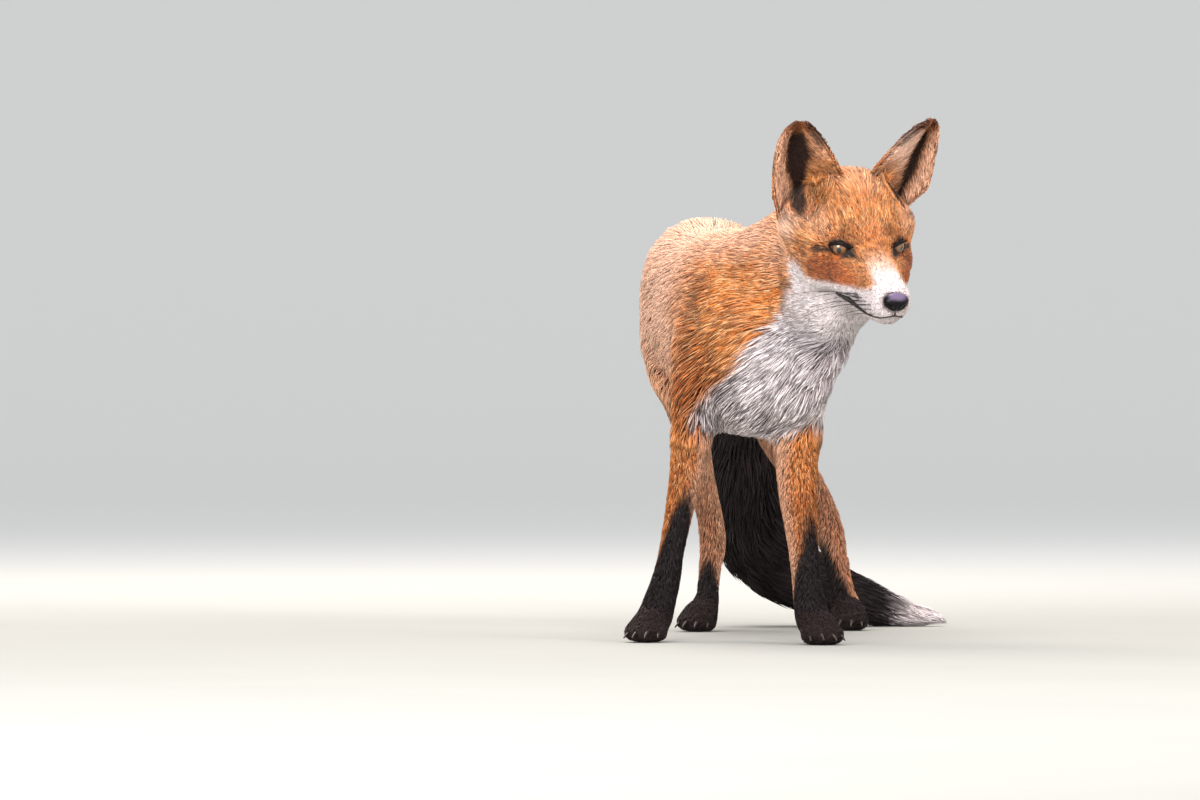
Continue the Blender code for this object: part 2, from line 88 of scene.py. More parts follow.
def linear(code: str) -> tuple[float, float, float, float]:
    """Turns an sRGB colour into the linear one that a shader works with.

    Args:
        code: Six hex digits.

    Returns:
        Red, green, blue and an alpha of one.
    """
    shares = [int(code[place:place + 2], 16) / 255 for place in (0, 2, 4)]
    red, green, blue = (
        share / 12.92 if share <= 0.04045 else ((share + 0.055) / 1.055) ** 2.4 for share in shares
    )
    return red, green, blue, 1.0


def ramp(value: Array, low: float, high: float) -> Array:
    """Rises smoothly from zero at low to one at high, or falls where low is the higher."""
    share = np.clip((value - low) / (high - low), 0, 1)
    return share * share * (3 - 2 * share)


def unit(vectors: Array) -> Array:
    """The same directions, each one long."""
    return vectors / np.maximum(np.linalg.norm(vectors, axis=-1, keepdims=True), TINY)


def flattened(vectors: Array, normals: Array) -> Array:
    """Directions without the part of them that runs along the normals."""
    return vectors - normals * np.sum(vectors * normals, axis=1, keepdims=True)


def mirrored(places: Array) -> Array:
    """Places with those on the right side taken over to the left."""
    return np.column_stack((np.abs(places[:, 0]), places[:, 1:]))


def within(places: Array, middle: Sequence[float], radii: Sequence[float], edge: float,
           strength: float = 1.0) -> Array:
    """How far places lie inside a spot.

    Args:
        places: Places, one row each.
        middle: Middle of the spot.
        radii: Its half extents.
        edge: Width of the soft edge as a share of the radii.
        strength: Its value inside.

    Returns:
        The strength inside, zero outside, and between them across the edge.
    """
    reach = np.linalg.norm((places - np.array(middle)) / np.array(radii), axis=1)
    return ramp(reach, 1 + edge, 1 - edge) * strength


def stroke(places: Array, path: Sequence[Place], radius: float) -> Array:
    """How far places lie inside a soft stroke: one along its path, zero a radius and more away."""
    out = np.zeros(len(places))
    for start, end in zip(path, path[1:]):
        first, line = np.array(start, float), np.array(end, float) - np.array(start, float)
        along = np.clip((places - first) @ line / (line @ line), 0, 1)
        away = np.linalg.norm(places - first - along[:, None] * line, axis=1)
        out = np.maximum(out, ramp(away, radius * 1.25, radius * 0.6))
    return out


@dataclass(frozen=True)
class Carriage:
    """How the head is carried: takes places on the straight head to the row's frame.

    Attributes:
        yaw: Turn to the fox's left, in degrees.
        pitch: Bow towards the ground.
        roll: Tilt to one side.
        eye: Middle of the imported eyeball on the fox's left.
    """

    yaw: float = 23.5
    pitch: float = 25.0
    roll: float = 2.0
    eye: Place = (25.6, 6.2, -0.3)

    def turn(self) -> Matrix:
        """The head's turn alone."""
        roll = Matrix.Rotation(math.radians(-self.roll), 4, "Y")
        bow = Matrix.Rotation(math.radians(self.pitch), 4, "X")
        return Matrix.Rotation(math.radians(self.yaw), 4, "Z") @ bow @ roll

    def matrix(self) -> Matrix:
        """Takes a place on the straight head, in millimetres, to metres in the row's frame."""
        corners = [corner for eye in ("eye_left", "eye_right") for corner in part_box(eye)]
        middle = sum(corners, Vector()) / len(corners)
        ahead = self.turn() @ Vector((0, self.eye[1], self.eye[2])) * MM
        return Matrix.Translation(middle - ahead) @ self.turn() @ Matrix.Scale(MM, 4)


HEAD = Carriage().matrix()
HEAD_BACK = HEAD.inverted()
HEAD_TURN = np.array(Carriage().turn().to_3x3())


def transformed(places: Array, matrix: Matrix) -> Array:
    """Places taken through a matrix, one row each."""
    grid = np.array(matrix)
    return places @ grid[:3, :3].T + grid[:3, 3]


def on_head(places: Array) -> Array:
    """Places of the row's frame, in metres, as millimetres on the straight head."""
    return transformed(places, HEAD_BACK)


def from_head(places: Array) -> Array:
    """Places on the straight head, in millimetres, as metres in the row's frame."""
    return transformed(places, HEAD)


def side_name(side: int) -> str:
    """The name of a side: 1 is the fox's left and -1 its right."""
    return "left" if side > 0 else "right"


def link(name: str, data: bpy.types.ID) -> bpy.types.Object:
    """Makes an object of a mesh, curve, light or camera and puts it in the scene."""
    made = bpy.data.objects.new(name, data)
    bpy.context.scene.collection.objects.link(made)
    return made


def mesh_of(name: str, bm: bmesh.types.BMesh) -> bpy.types.Mesh:
    """Makes a mesh of a bmesh, which it frees."""
    mesh = bpy.data.meshes.new(name)
    bm.to_mesh(mesh)
    bm.free()
    return mesh


def bake_modifiers(thing: bpy.types.Object) -> None:
    """Applies an object's modifiers to its mesh."""
    bpy.context.view_layer.update()
    evaluated = thing.evaluated_get(bpy.context.evaluated_depsgraph_get())
    mesh = bpy.data.meshes.new_from_object(evaluated)
    thing.modifiers.clear()
    thing.data = mesh


def places_of(bm: bmesh.types.BMesh) -> Array:
    """The places of a bmesh's points."""
    return np.array([vert.co[:] for vert in bm.verts])


def move(bm: bmesh.types.BMesh, places: Array) -> None:
    """Puts the points of a bmesh at new places."""
    for vert, place in zip(bm.verts, places):
        vert.co = place


def ridden(name: str, mesh: bpy.types.Mesh, material: bpy.types.Material) -> bpy.types.Object:
    """Makes a finished piece of a mesh, which rides on the body."""
    mesh.materials.append(material)
    piece = link(name, mesh)
    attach(piece, BODY)
    LOG.info("%s: %d faces", name, len(mesh.polygons))
    return piece


def finished(name: str, bm: bmesh.types.BMesh, material: bpy.types.Material) -> bpy.types.Object:
    """Makes a smooth piece that rides on the body from a bmesh, which it frees."""
    bmesh.ops.recalc_face_normals(bm, faces=bm.faces)
    mesh = mesh_of(name, bm)
    mesh.shade_smooth()
    return ridden(name, mesh, material)


# ---------------------------------------------------------------- surfaces as arrays


class Surface:
    """A triangle mesh held as arrays, with fields that live on its points."""

    pace = 0.6  # how far a field moves towards its neighbours in one round
    shape_pace = 0.5  # the same for the shape itself

    def __init__(self, mesh: bpy.types.Mesh) -> None:
        """Reads the places and triangles of a mesh."""
        mesh.calc_loop_triangles()
        self.points = self.read(mesh.vertices, "co", 3, float)
        self.faces = self.read(mesh.loop_triangles, "vertices", 3, np.int64)
        self.edges = self.read(mesh.edges, "vertices", 2, np.int64)
        self.degree = np.bincount(self.edges.ravel(), minlength=len(self.points))[:, None]

    @staticmethod
    def read(source: Sequence, what: str, width: int, kind: type) -> Array:
        """Reads one value of each item of a mesh's list, one row each."""
        values = np.empty(len(source) * width, kind)
        source.foreach_get(what, values)
        return values.reshape(-1, width)

    def spread(self, field: Array) -> Array:
        """The mean of a field over each point's neighbours."""
        first, second = self.edges.T
        out = np.empty_like(field)
        for column, values in enumerate(field.T):
            total = np.bincount(first, values[second], len(field))
            total += np.bincount(second, values[first], len(field))
            out[:, column] = total
        return out / np.maximum(self.degree, 1)

    def eased(self, field: Array, rounds: int) -> Array:
        """A field smoothed over the surface.

        Args:
            field: One value or one row for each point.
            rounds: How often each point moves towards its neighbours.

        Returns:
            The smoothed field, in the shape it came in.
        """
        values = field.reshape(len(self.points), -1).astype(float)
        for _ in range(rounds):
            values += self.pace * (self.spread(values) - values)
        return values.reshape(field.shape)

    def smooth_shape(self, rounds: Array | float) -> None:
        """Smooths the shape itself, each point for its own number of rounds."""
        rounds = np.broadcast_to(rounds, len(self.points))
        for step in range(int(rounds.max())):
            share = self.shape_pace * np.clip(rounds - step, 0, 1)[:, None]
            self.points += share * (self.spread(self.points) - self.points)

    def face_normals(self) -> Array:
        """The area-weighted normal of each triangle."""
        a, b, c = (self.points[self.faces[:, corner]] for corner in range(3))
        return np.cross(b - a, c - a) / 2

    def normals(self) -> Array:
        """The normal at each point."""
        wide = self.face_normals()
        out = np.zeros_like(self.points)
        for corner in range(3):
            for axis in range(3):
                out[:, axis] += np.bincount(self.faces[:, corner], wide[:, axis], len(self.points))
        return unit(out)

    def tree(self) -> BVHTree:
        """A search tree over the triangles."""
        return BVHTree.FromPolygons(self.points.tolist(), self.faces.tolist())


def array_mesh(name: str, points: Array, faces: Array) -> bpy.types.Mesh:
    """A triangle mesh from arrays.

    Args:
        name: Name of the mesh.
        points: Places in metres.
        faces: Three point numbers for each triangle.

    Returns:
        The new mesh, smooth shaded.
    """
    mesh = bpy.data.meshes.new(name)
    mesh.vertices.add(len(points))
    mesh.vertices.foreach_set("co", points.astype(np.float32).ravel())
    mesh.loops.add(faces.size)
    mesh.loops.foreach_set("vertex_index", faces.astype(np.int32).ravel())
    mesh.polygons.add(len(faces))
    mesh.polygons.foreach_set("loop_start", np.arange(0, faces.size, 3, dtype=np.int32))
    mesh.update(calc_edges=True)
    mesh.shade_smooth()
    return mesh


def paint(mesh: bpy.types.Mesh, name: str, *columns: Array) -> None:
    """Stores four values for each point of a mesh under a name that its material reads.

    Args:
        mesh: The mesh.
        name: Name of the values.
        columns: Up to four columns. What is missing up to the fourth, which is one, is zero.
    """
    layer = mesh.attributes.new(name, "FLOAT_COLOR", "POINT")
    given = np.column_stack(columns)
    values = np.zeros((len(given), 4))
    values[:, 3] = 1
    values[:, :given.shape[1]] = given
    layer.data.foreach_set("color", values.astype(np.float32).ravel())


def nearest(tree: BVHTree, places: Array) -> tuple[Array, Array, Array]:
    """Looks up the nearest place on a surface for each place.

    Args:
        tree: Search tree of the surface.
        places: Places in metres.

    Returns:
        The nearest places, their triangles' numbers and how far they are.
    """
    found = [tree.find_nearest(place) for place in places.tolist()]
    spots = np.array([tuple(hit[0]) for hit in found])
    return spots, np.array([hit[2] for hit in found]), np.array([hit[3] for hit in found])


# ---------------------------------------------------------------- the body under the coat


@dataclass(frozen=True)
class Growth:
    """How the coat grows on one part of the body.

    Attributes:
        depth: How far the skin lies below the tips of the coat.
        length: Length of a tuft.
        width: Width of a tuft at its widest.
        density: Tufts for each square centimetre, before a coat piece's own number is met.
        ease: Rounds of smoothing that the outline gets.
    """

    depth: float
    length: float
    width: float
    density: float
    ease: float


GROWTH = {
    "head": Growth(5.0, 10.0, 0.9, 90, 7),
    "lower_jaw": Growth(1.4, 5.5, 0.8, 110, 6),
    "neck": Growth(17.0, 33.0, 1.7, 36, 34),
    "trunk": Growth(14.0, 31.0, 1.8, 28, 40),
    "foreleg": Growth(3.2, 12.0, 1.2, 70, 12),
    "hindleg": Growth(4.2, 15.0, 1.3, 55, 14),
    "paw": Growth(1.8, 6.5, 1.0, 95, 5),
    "tail_root": Growth(13.0, 36.0, 2.0, 26, 26),
    "tail_middle": Growth(20.0, 48.0, 2.3, 20, 30),
    "tail_tip": Growth(14.0, 44.0, 2.1, 26, 20),
}
# On the head the coat grows longer with the distance from the tip of the nose.
NOSE_TIP = (0.0, -75.0, -22.0)
FACE_REACH = (0.0, 55.0, 85.0, 118.0, 150.0)
FACE_GROWTH = {
    "depth": (0.9, 1.1, 2.0, 4.8, 9.5),
    "length": (3.2, 5.0, 9.0, 15.0, 27.0),
    "width": (0.75, 0.95, 1.25, 1.5, 1.8),
    "density": (190, 165, 120, 80, 50),
    "ease": (3, 4, 5, 10, 24),
}
CONCHA = ((46.0, 48.0, 28.0), (17.0, 22.0, 22.0), 0.3)  # where an ear leads down into the head
NEAR_EYE = (26, 13)  # bounds of the short coat about an eye, from its middle
# Soft moves of the outline of the head: middle, reach and shift.
MOULDINGS = (
    ((43.0, -8.0, -36.0), (15.0, 22.0, 18.0), (-3.0, 0.0, 0.0)),
    ((0.0, 58.0, 50.0), (34.0, 34.0, 18.0), (0.0, 0.0, 4.0)),
)
# A fringe before the left hock, which reaches inward, and how much deeper and longer it is.
HOCK_FRINGE = ((30.0, 110.0, 88.0), (20.0, 100.0, 34.0), 0.4)
HOCK_FRINGE_FACING = (-0.1, -0.6)
HOCK_FRINGE_GAIN = (1.6, 0.3)
# Where the tips of the hairs hang freely.
LOOSE_AT_EAR = ((38.0, 45.0, 37.0), (32.0, 29.0, 28.0), 0.4, 1.0)
LOOSE_RUFF = ((58.0, 48.0, -30.0), (22.0, 24.0, 50.0), 0.6, 0.6)
LOOSE_BREAST, LOOSE_LEG_TOP, LOOSE_TAIL = 0.6, 0.5, 0.35
# The lie of the coat: ways in which it runs, before they are eased into each other.
THROAT = (-4.0, 4.0, -64.0)  # the coat of the breast spreads from here
LIE = {
    "neck": (-0.30, 0.50, -0.42),
    "trunk": (-0.04, 0.94, -0.33),
    "haunch": (0.0, 0.38, -0.92),
    "rump": (0.0, 0.5, -0.86),
    "breast": (-0.15, 0.1, -0.2),
    "fore": (0.0, 0.10, -1.0),
    "hind": (0.0, 0.30, -1.0),
    "tail": (0.05, 0.2, -1.0),
    "tail_end": (1.0, -0.05, -0.3),
}
NECK_SPREAD = 0.55
AROUND_EYE = (30, 16)  # bounds of the coat that parts above and below an eye
EYE_PARTING = 1.6
UP_THE_EAR = ((40.0, 45.0, 37.0), (34.0, 31.0, 29.0), 0.5)
EAR_AXIS = 46.0  # hair before the ear aims at the ear's middle, this far out
PAW_FALL = -0.5
HEADINGS = {
    "forepaw_right": -14.0, "forepaw_left": 12.0, "hindpaw_right": -16.0, "hindpaw_left": -8.0,
}


def growth_of(node: str) -> Growth:
    """The growth on a node of flesh."""
    if node in PAWS:
        return GROWTH["paw"]
    return GROWTH.get(node) or GROWTH[node.split("_")[0]]


class Body:
    """The animal under its coat: its outline, its skin and the fields that the coat needs."""

    voxel = 2.2  # cell of the outline
    skin_voxel = 2.5  # cell of the skin
    swell = 0.45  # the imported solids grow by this, to close the cuts between them
    least_rest = 0.34  # share of a limb's thickness that the coat may take on one side
    sculpt_rounds = 2.0
    skin_rounds = 3.0
    field_rounds = 30  # rounds that ease the growth from part to part
    depth_rounds = 12
    flow_rounds = 8
    tip_lean = 0.12  # share of a tuft's length by which its tip lies down the flow
    start_inset = 0.0005  # rays through a limb start this far inside, in metres

    def __init__(self) -> None:
        """Draws the outline and the skin and works out the fields."""
        self.nodes = [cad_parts[name] for name in FLESH]
        self.labels_tree, self.owner = self.node_tree()
        self.outline = self.remeshed(self.joined_nodes(), self.voxel)
        self.outline.smooth_shape(self.face_field("ease", self.outline))
        self.outline = self.sculpted()
        LOG.info("outline: %d points", len(self.outline.points))
        self.skin = self.draw_skin()
        LOG.info("skin: %d points", len(self.skin.points))
        self.names = np.array(FLESH)[self.labels(self.skin)]
        self.normals = self.skin.normals()
        self.head = on_head(self.skin.points)
        self.flow = self.comb()
        concha = within(mirrored(self.head), *CONCHA)
        near = np.maximum.reduce([ramp(eye.seen(self.head)[2], *NEAR_EYE) for eye in EYES])
        self.depth = nearest(self.outline.tree(), self.skin.points)[2] * (1 - 0.8 * concha)
        self.length = self.face_field("length", self.skin) * MM * (1 - 0.3 * concha) * (1 - 0.5 * near)
        self.width = self.face_field("width", self.skin) * MM * (1 - 0.35 * near)
        self.density = self.face_field("density", self.skin)

    def sculpted(self) -> Surface:
        """The outline with soft regions of its head moved, alike on both sides."""
        head = on_head(self.outline.points)
        side = np.sign(head[:, :1])
        left = mirrored(head)
        for middle, radii, shift in MOULDINGS:
            share = within(left, middle, radii, 0.9)[:, None]
            head += share * np.hstack((side * shift[0], np.tile(shift[1:], (len(head), 1))))
        surface = Surface(array_mesh("outline", from_head(head), self.outline.faces))
        surface.smooth_shape(self.sculpt_rounds)
        return surface

    def hide(self) -> "Hide":
        """The skin as a surface that the coat grows from."""
        reach = self.depth[:, None] * self.normals + self.tip_lean * self.length[:, None] * self.flow
        marks = Pattern(self.skin.points + reach, self.normals, self.names).marks()
        fringe = (self.names == "hindleg_left") * within(self.skin.points / MM, *HOCK_FRINGE)
        fringe = fringe * ramp(self.normals[:, 0], *HOCK_FRINGE_FACING)
        deeper, longer = (1 + gain * fringe for gain in HOCK_FRINGE_GAIN)
        return Hide(self.skin, self.normals, self.flow, self.depth * deeper, self.length * longer,
                    self.width, self.density, marks, marks, self.loose())

    def loose(self) -> Array:
        """How freely the tips of the hairs hang at each point."""
        _, y, z = (self.skin.points / MM).T
        left = mirrored(self.head)
        names = self.names
        breast = np.isin(names, ("neck", "trunk")) * ramp(z, 240, 196) * ramp(y, -120, -160)
        leg_top = np.char.startswith(names, "fore") * ramp(z, 150, 190)
        tail = np.char.startswith(names, "tail")
        return np.maximum.reduce((
            within(left, *LOOSE_AT_EAR), within(left, *LOOSE_RUFF),
            breast * LOOSE_BREAST, leg_top * LOOSE_LEG_TOP, tail * LOOSE_TAIL))

    def node_tree(self) -> tuple[BVHTree, Array]:
        """A search tree over the nodes of flesh, and the node's number for each triangle."""
        points, faces, owner = [], [], []
        for number, node in enumerate(self.nodes):
            surface = Surface(node.data)
            faces += (surface.faces + len(points)).tolist()
            points += surface.points.tolist()
            owner += [number] * len(surface.faces)
        return BVHTree.FromPolygons(points, faces), np.array(owner)

    def joined_nodes(self) -> bpy.types.Object:
        """The flesh and the eyeballs as one object, swollen enough to close the thin cuts."""
        bm = bmesh.new()
        for node in (*self.nodes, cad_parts["eye_left"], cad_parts["eye_right"]):
            piece = bmesh.new()
            piece.from_mesh(node.data)
            bmesh.ops.remove_doubles(piece, verts=piece.verts, dist=WELD)
            piece.normal_update()
            for vert in piece.verts:
                vert.co += vert.normal * self.swell * MM
            mesh = mesh_of("piece", piece)
            bm.from_mesh(mesh)
            bpy.data.meshes.remove(mesh)
        return link("joined", mesh_of("joined", bm))

    def remeshed(self, thing: bpy.types.Object, voxel: float) -> Surface:
        """Fuses an object into one even skin of triangles and removes the object."""
        fuse = thing.modifiers.new("fuse", "REMESH")
        fuse.mode = "VOXEL"
        fuse.voxel_size = voxel * MM
        bake_modifiers(thing)
        surface = Surface(thing.data)
        bpy.data.objects.remove(thing)
        return surface

    def labels(self, surface: Surface) -> Array:
        """The number of the node of flesh that each point belongs to."""
        return self.owner[nearest(self.labels_tree, surface.points)[1]]

    def face_field(self, what: str, surface: Surface) -> Array:
        """One value of the growth at each point, eased from part to part."""
        label = self.labels(surface)
        plain = np.array([getattr(growth_of(name), what) for name in FLESH], float)[label]
        reach = np.linalg.norm(on_head(surface.points) - np.array(NOSE_TIP), axis=1)
        on_face = np.interp(reach, FACE_REACH, FACE_GROWTH[what])
        values = np.where(label == FLESH.index("head"), on_face, plain)
        return surface.eased(values, self.field_rounds)

    def draw_skin(self) -> Surface:
        """The skin: the outline drawn in by the depth of the coat and fused again."""
        depth = self.face_field("depth", self.outline) * MM
        normals = self.outline.normals()
        tree = self.outline.tree()
        room = np.full(len(depth), 1.0)
        for number, (place, normal) in enumerate(zip(self.outline.points, normals)):
            hit = tree.ray_cast(Vector(place - normal * self.start_inset), Vector(-normal))
            if hit[0] is not None:
                room[number] = hit[3]
        depth = self.outline.eased(np.minimum(depth, room * self.least_rest), self.depth_rounds)
        drawn = self.outline.points - normals * depth[:, None]
        skin = self.remeshed(link("skin", array_mesh("skin", drawn, self.outline.faces)), self.skin_voxel)
        skin.smooth_shape(self.skin_rounds)
        return skin

    def comb_head(self) -> Array:
        """The way the coat lies on the head: back from the nose, round the eyes, up the ears."""
        way = unit(self.head - np.array(NOSE_TIP))
        for eye in EYES:
            _, rise, reach = eye.seen(self.head)
            away = way + np.outer(np.clip(rise / 5, -1, 1) * EYE_PARTING, (0, 0, 1))
            share = ramp(reach, *AROUND_EYE)[:, None]
            way = unit(way * (1 - share) + unit(away) * share)
        left = mirrored(self.head)
        share = within(left, *UP_THE_EAR)[:, None]
        aim = np.clip((EAR_AXIS - left[:, 0]) / 24, -0.4, 0.6) * np.sign(self.head[:, 0])
        upward = np.column_stack((aim, np.zeros(len(aim)), np.ones(len(aim))))
        way = unit(way * (1 - share) + unit(upward) * share)
        return unit(way @ HEAD_TURN.T)

    def comb(self) -> Array:
        """The way the coat lies at each point of the skin."""
        places = self.skin.points / MM
        _, y, z = places.T
        names = self.names
        spread = unit(places - from_head(np.array([THROAT]))[0] / MM)
        way = np.zeros_like(places)

        def lay(where: Array, direction: Array | Place) -> None:
            """Turns the coat towards a direction where a share from zero to one says so."""
            nonlocal way
            share = where.astype(float)[:, None]
            way = way * (1 - share) + unit(np.broadcast_to(direction, places.shape)) * share

        trunk = names == "trunk"
        tail = np.char.startswith(names, "tail")
        haunch = np.maximum(ramp(z, 310, 235) * ramp(y, -80, -125), ramp(z, 345, 255) * ramp(y, 70, 125))
        lay(np.isin(names, ON_HEAD), self.comb_head())
        lay(names == "neck", unit(spread * NECK_SPREAD + np.array(LIE["neck"])))
        lay(trunk, LIE["trunk"])
        lay(trunk * haunch, LIE["haunch"])
        lay(trunk * ramp(y, 190, 240), LIE["rump"])
        lay(trunk * ramp(y, -155, -205), unit(spread + np.array(LIE["breast"])))
        lay(np.char.startswith(names, "fore"), LIE["fore"])
        lay(np.char.startswith(names, "hind"), LIE["hind"])
        for paw, degrees in HEADINGS.items():
            heading = math.radians(degrees)
            lay(names == paw, (math.sin(heading), -math.cos(heading), PAW_FALL))
        lay(tail, LIE["tail"])
        lay(tail * ramp(z, 125, 60), LIE["tail_end"])
        for _ in range(3):
            way = unit(flattened(self.skin.eased(way, self.flow_rounds), self.normals))
        return way


# ---------------------------------------------------------------- markings


class Mark(Enum):
    """The markings, each one channel of the colour that skin and coat share."""

    WHITE = 0
    BLACK = 1
    PALE = 2
    RUSSET = 3


# The white of the cheek on the head: its upper edge and that edge's softness against the way
# back, and its rear edge against the height.
CHEEK_LINE = ((-70, -50, -38, -20, 4, 14, 24, 48), (-12, -17, -23, -27, -34, -34, -26, -32))
CHEEK_BLEND = ((0, 20), (3.0, 7.0))
CHEEK_REAR = ((-66, -52, -34, -22), (33, 37, 48, 52))
# Edge of the white bib on the fox's right: height, and the x at which the white begins.
BIB_EDGE = ((195.0, 228.0, 244.0, 272.0, 294.0, 322.0), (-101.0, -83.0, -64.0, -50.0, -24.0, -11.0))
BIB_BLEND = 7.0
# Socks: leg, the way their dark face looks, the heights where they begin and close, and how
# squarely a place must face that way half way down to be dark.
SOCKS = {
    "foreleg_right": ((0.35, -0.93), 152.0, 40.0, 0.25),
    "foreleg_left": ((0.60, -0.80), 150.0, 22.0, 0.62),
    "hindleg_right": ((-0.20, -0.98), 82.0, 22.0, 0.4),
    "hindleg_left": ((-0.86, -0.50), 104.0, 4.0, 0.42),
}
SOCK_FACING = (-1.1, 1.25)  # how squarely a place must face it where a sock closes and begins
SOCK_BLEND = 0.22
# The keel and the middle between the legs, as places to the side. Soft boxes: for each
# coordinate, its bounds. hx, hy and hz are places on the head, side is
# how far out on it, nx is the normal's x and across is how far a place is from the keel.
KEEL = -40.0
BETWEEN_LEGS = -30.0
BOXES = {
    "muzzle": {"side": (17, 10), "hy": (-25, -47), "hz": (-34, -22)},
    "chin": {"hy": (-46, -57)},
    "bridge": {"side": (18, 8), "hy": (-10, -32), "hz": (-34, -22)},
    "bib": {"y": (-146, -168), "z": (335, 318)},
    "bib_side": {"x": (76, 62)},
    "bib_front": {"y": (-205, -225)},
    "bib_on_leg": {"z": (184, 200)},
    "bib_on_body": {"z": (176, 192)},
    "bib_on_head": {"hz": (-52, -60)},
    "belly": {"z": (226, 208), "across": (60, 42), "y": (215, 160)},
    "tip_white": {"x": (88, 100)},
    "tip_not_black": {"x": (106, 124)},
    "tail_black": {"z": (300, 240)},
    "rump": {"y": (-200, -20), "z": (180, 300)},
    "left_flank": {"nx": (0.1, 0.8)},
    "nape": {"z": (338, 372), "x": (0, -45), "hy": (60, 110)},
    "leg_russet": {"z": (200, 130)},
    "left_canal_shade": {"side": (40, 48)},
}
# Spots of the head, alike on both sides, and spots of the body, for each use.
# Painted shade: black in the hollow where each ear leads down into the head.
CANAL_SHADE_SPOTS = (
    ((48.0, 56.0, 26.0), (8.0, 30.0, 15.0), 0.25, 0.95), ((38, 54, 32), (15, 24, 18), 0.8, 0.4),
)
DARK_SPOTS = (
    ((31.0, -3.0, 1.4), (14.2, 13.0, 7.3), 0.14, 1.0),  # ring about the eye
    ((21.5, -34.0, -32.0), (4.0, 5.5, 3.2), 0.6, 0.8),  # roots of the whiskers
    ((20.0, 4.0, 15.0), (11.0, 14.0, 8.0), 0.6, 0.30),  # brow
    ((0.0, 22.0, 34.0), (10.0, 24.0, 18.0), 0.8, 0.16),  # middle of the forehead
)
DARK_STROKES = (  # path, radius and strength: tear line in two lengths, outer corner of the eye
    (((24, -5, -0.6), (20.5, -12, -2.2)), 3.8, 1.0),
    (((20.5, -12, -2.2), (17.5, -19, -3.6)), 3.2, 0.55),
    (((34, 2, -1.6), (40, 6, -2.6), (47.5, 14, -4.0)), 3.3, 0.9),
)
# Painted shade: a dark stroke in the fold between the neck and the right shoulder.
NECK_FOLD_SHADE = (((-96, -168, 345), (-103, -171, 300), (-108, -176, 262)), 11.0, 0.32)
# Painted shadow under the chin.
UNDER_CHIN_SHADOW = ((22, -262, 284), (46, 40, 26), 0.8, 0.45)
ELBOW = ((-118, -108, 252), (22, 46, 34), 0.5, 0.2)
SHOULDER = ((-98, -184, 222), (26, 30, 46), 0.6, 0.55)
PALE_SPOTS = (
    ((0, 52, 46), (26, 26, 14), 0.5, 0.15),  # crown
    ((66, 50, 4), (15, 16, 16), 0.6, 0.9),  # root of the ear
    ((44, 30, 16), (14, 26, 14), 0.5, 0.3),  # temple
)
BEHIND_EAR = ((66, 72, -14), (20, 26, 36), 0.8, 0.6)
RUSSET_SPOTS = (
    ((38, -8, -20), (25, 34, 15), 0.5, 0.8),  # below the eye
    ((30, 2, 8), (18, 16, 7), 0.5, 0.4),  # above the eye
    ((0, -3, 12), (19, 19, 14), 0.8, 0.45),  # between the eyes
)
INNER_LEG = (0.1, 0.8)
# How strong a marking is where it is full.
# The second is painted shade over the white bib, which lies under the head.
PAW_BLACK, BIB_SHADE = 0.99, 0.1
# The pale of the rump and of the hind legs is partly their own coat and partly painted light.
RUMP_PALE_AND_LIGHT, BRIDGE_PALE, INNER_PALE, HINDLEG_PALE_AND_LIGHT, NAPE_PALE = 0.95, 0.9, 0.6, 0.5, 0.75
LEG_RUSSET = 0.4


def strongest(places: Array, spots: Iterable[Spot]) -> Array:
    """The strongest of some spots at each place."""
    return np.maximum.reduce([within(places, *spot) for spot in spots])


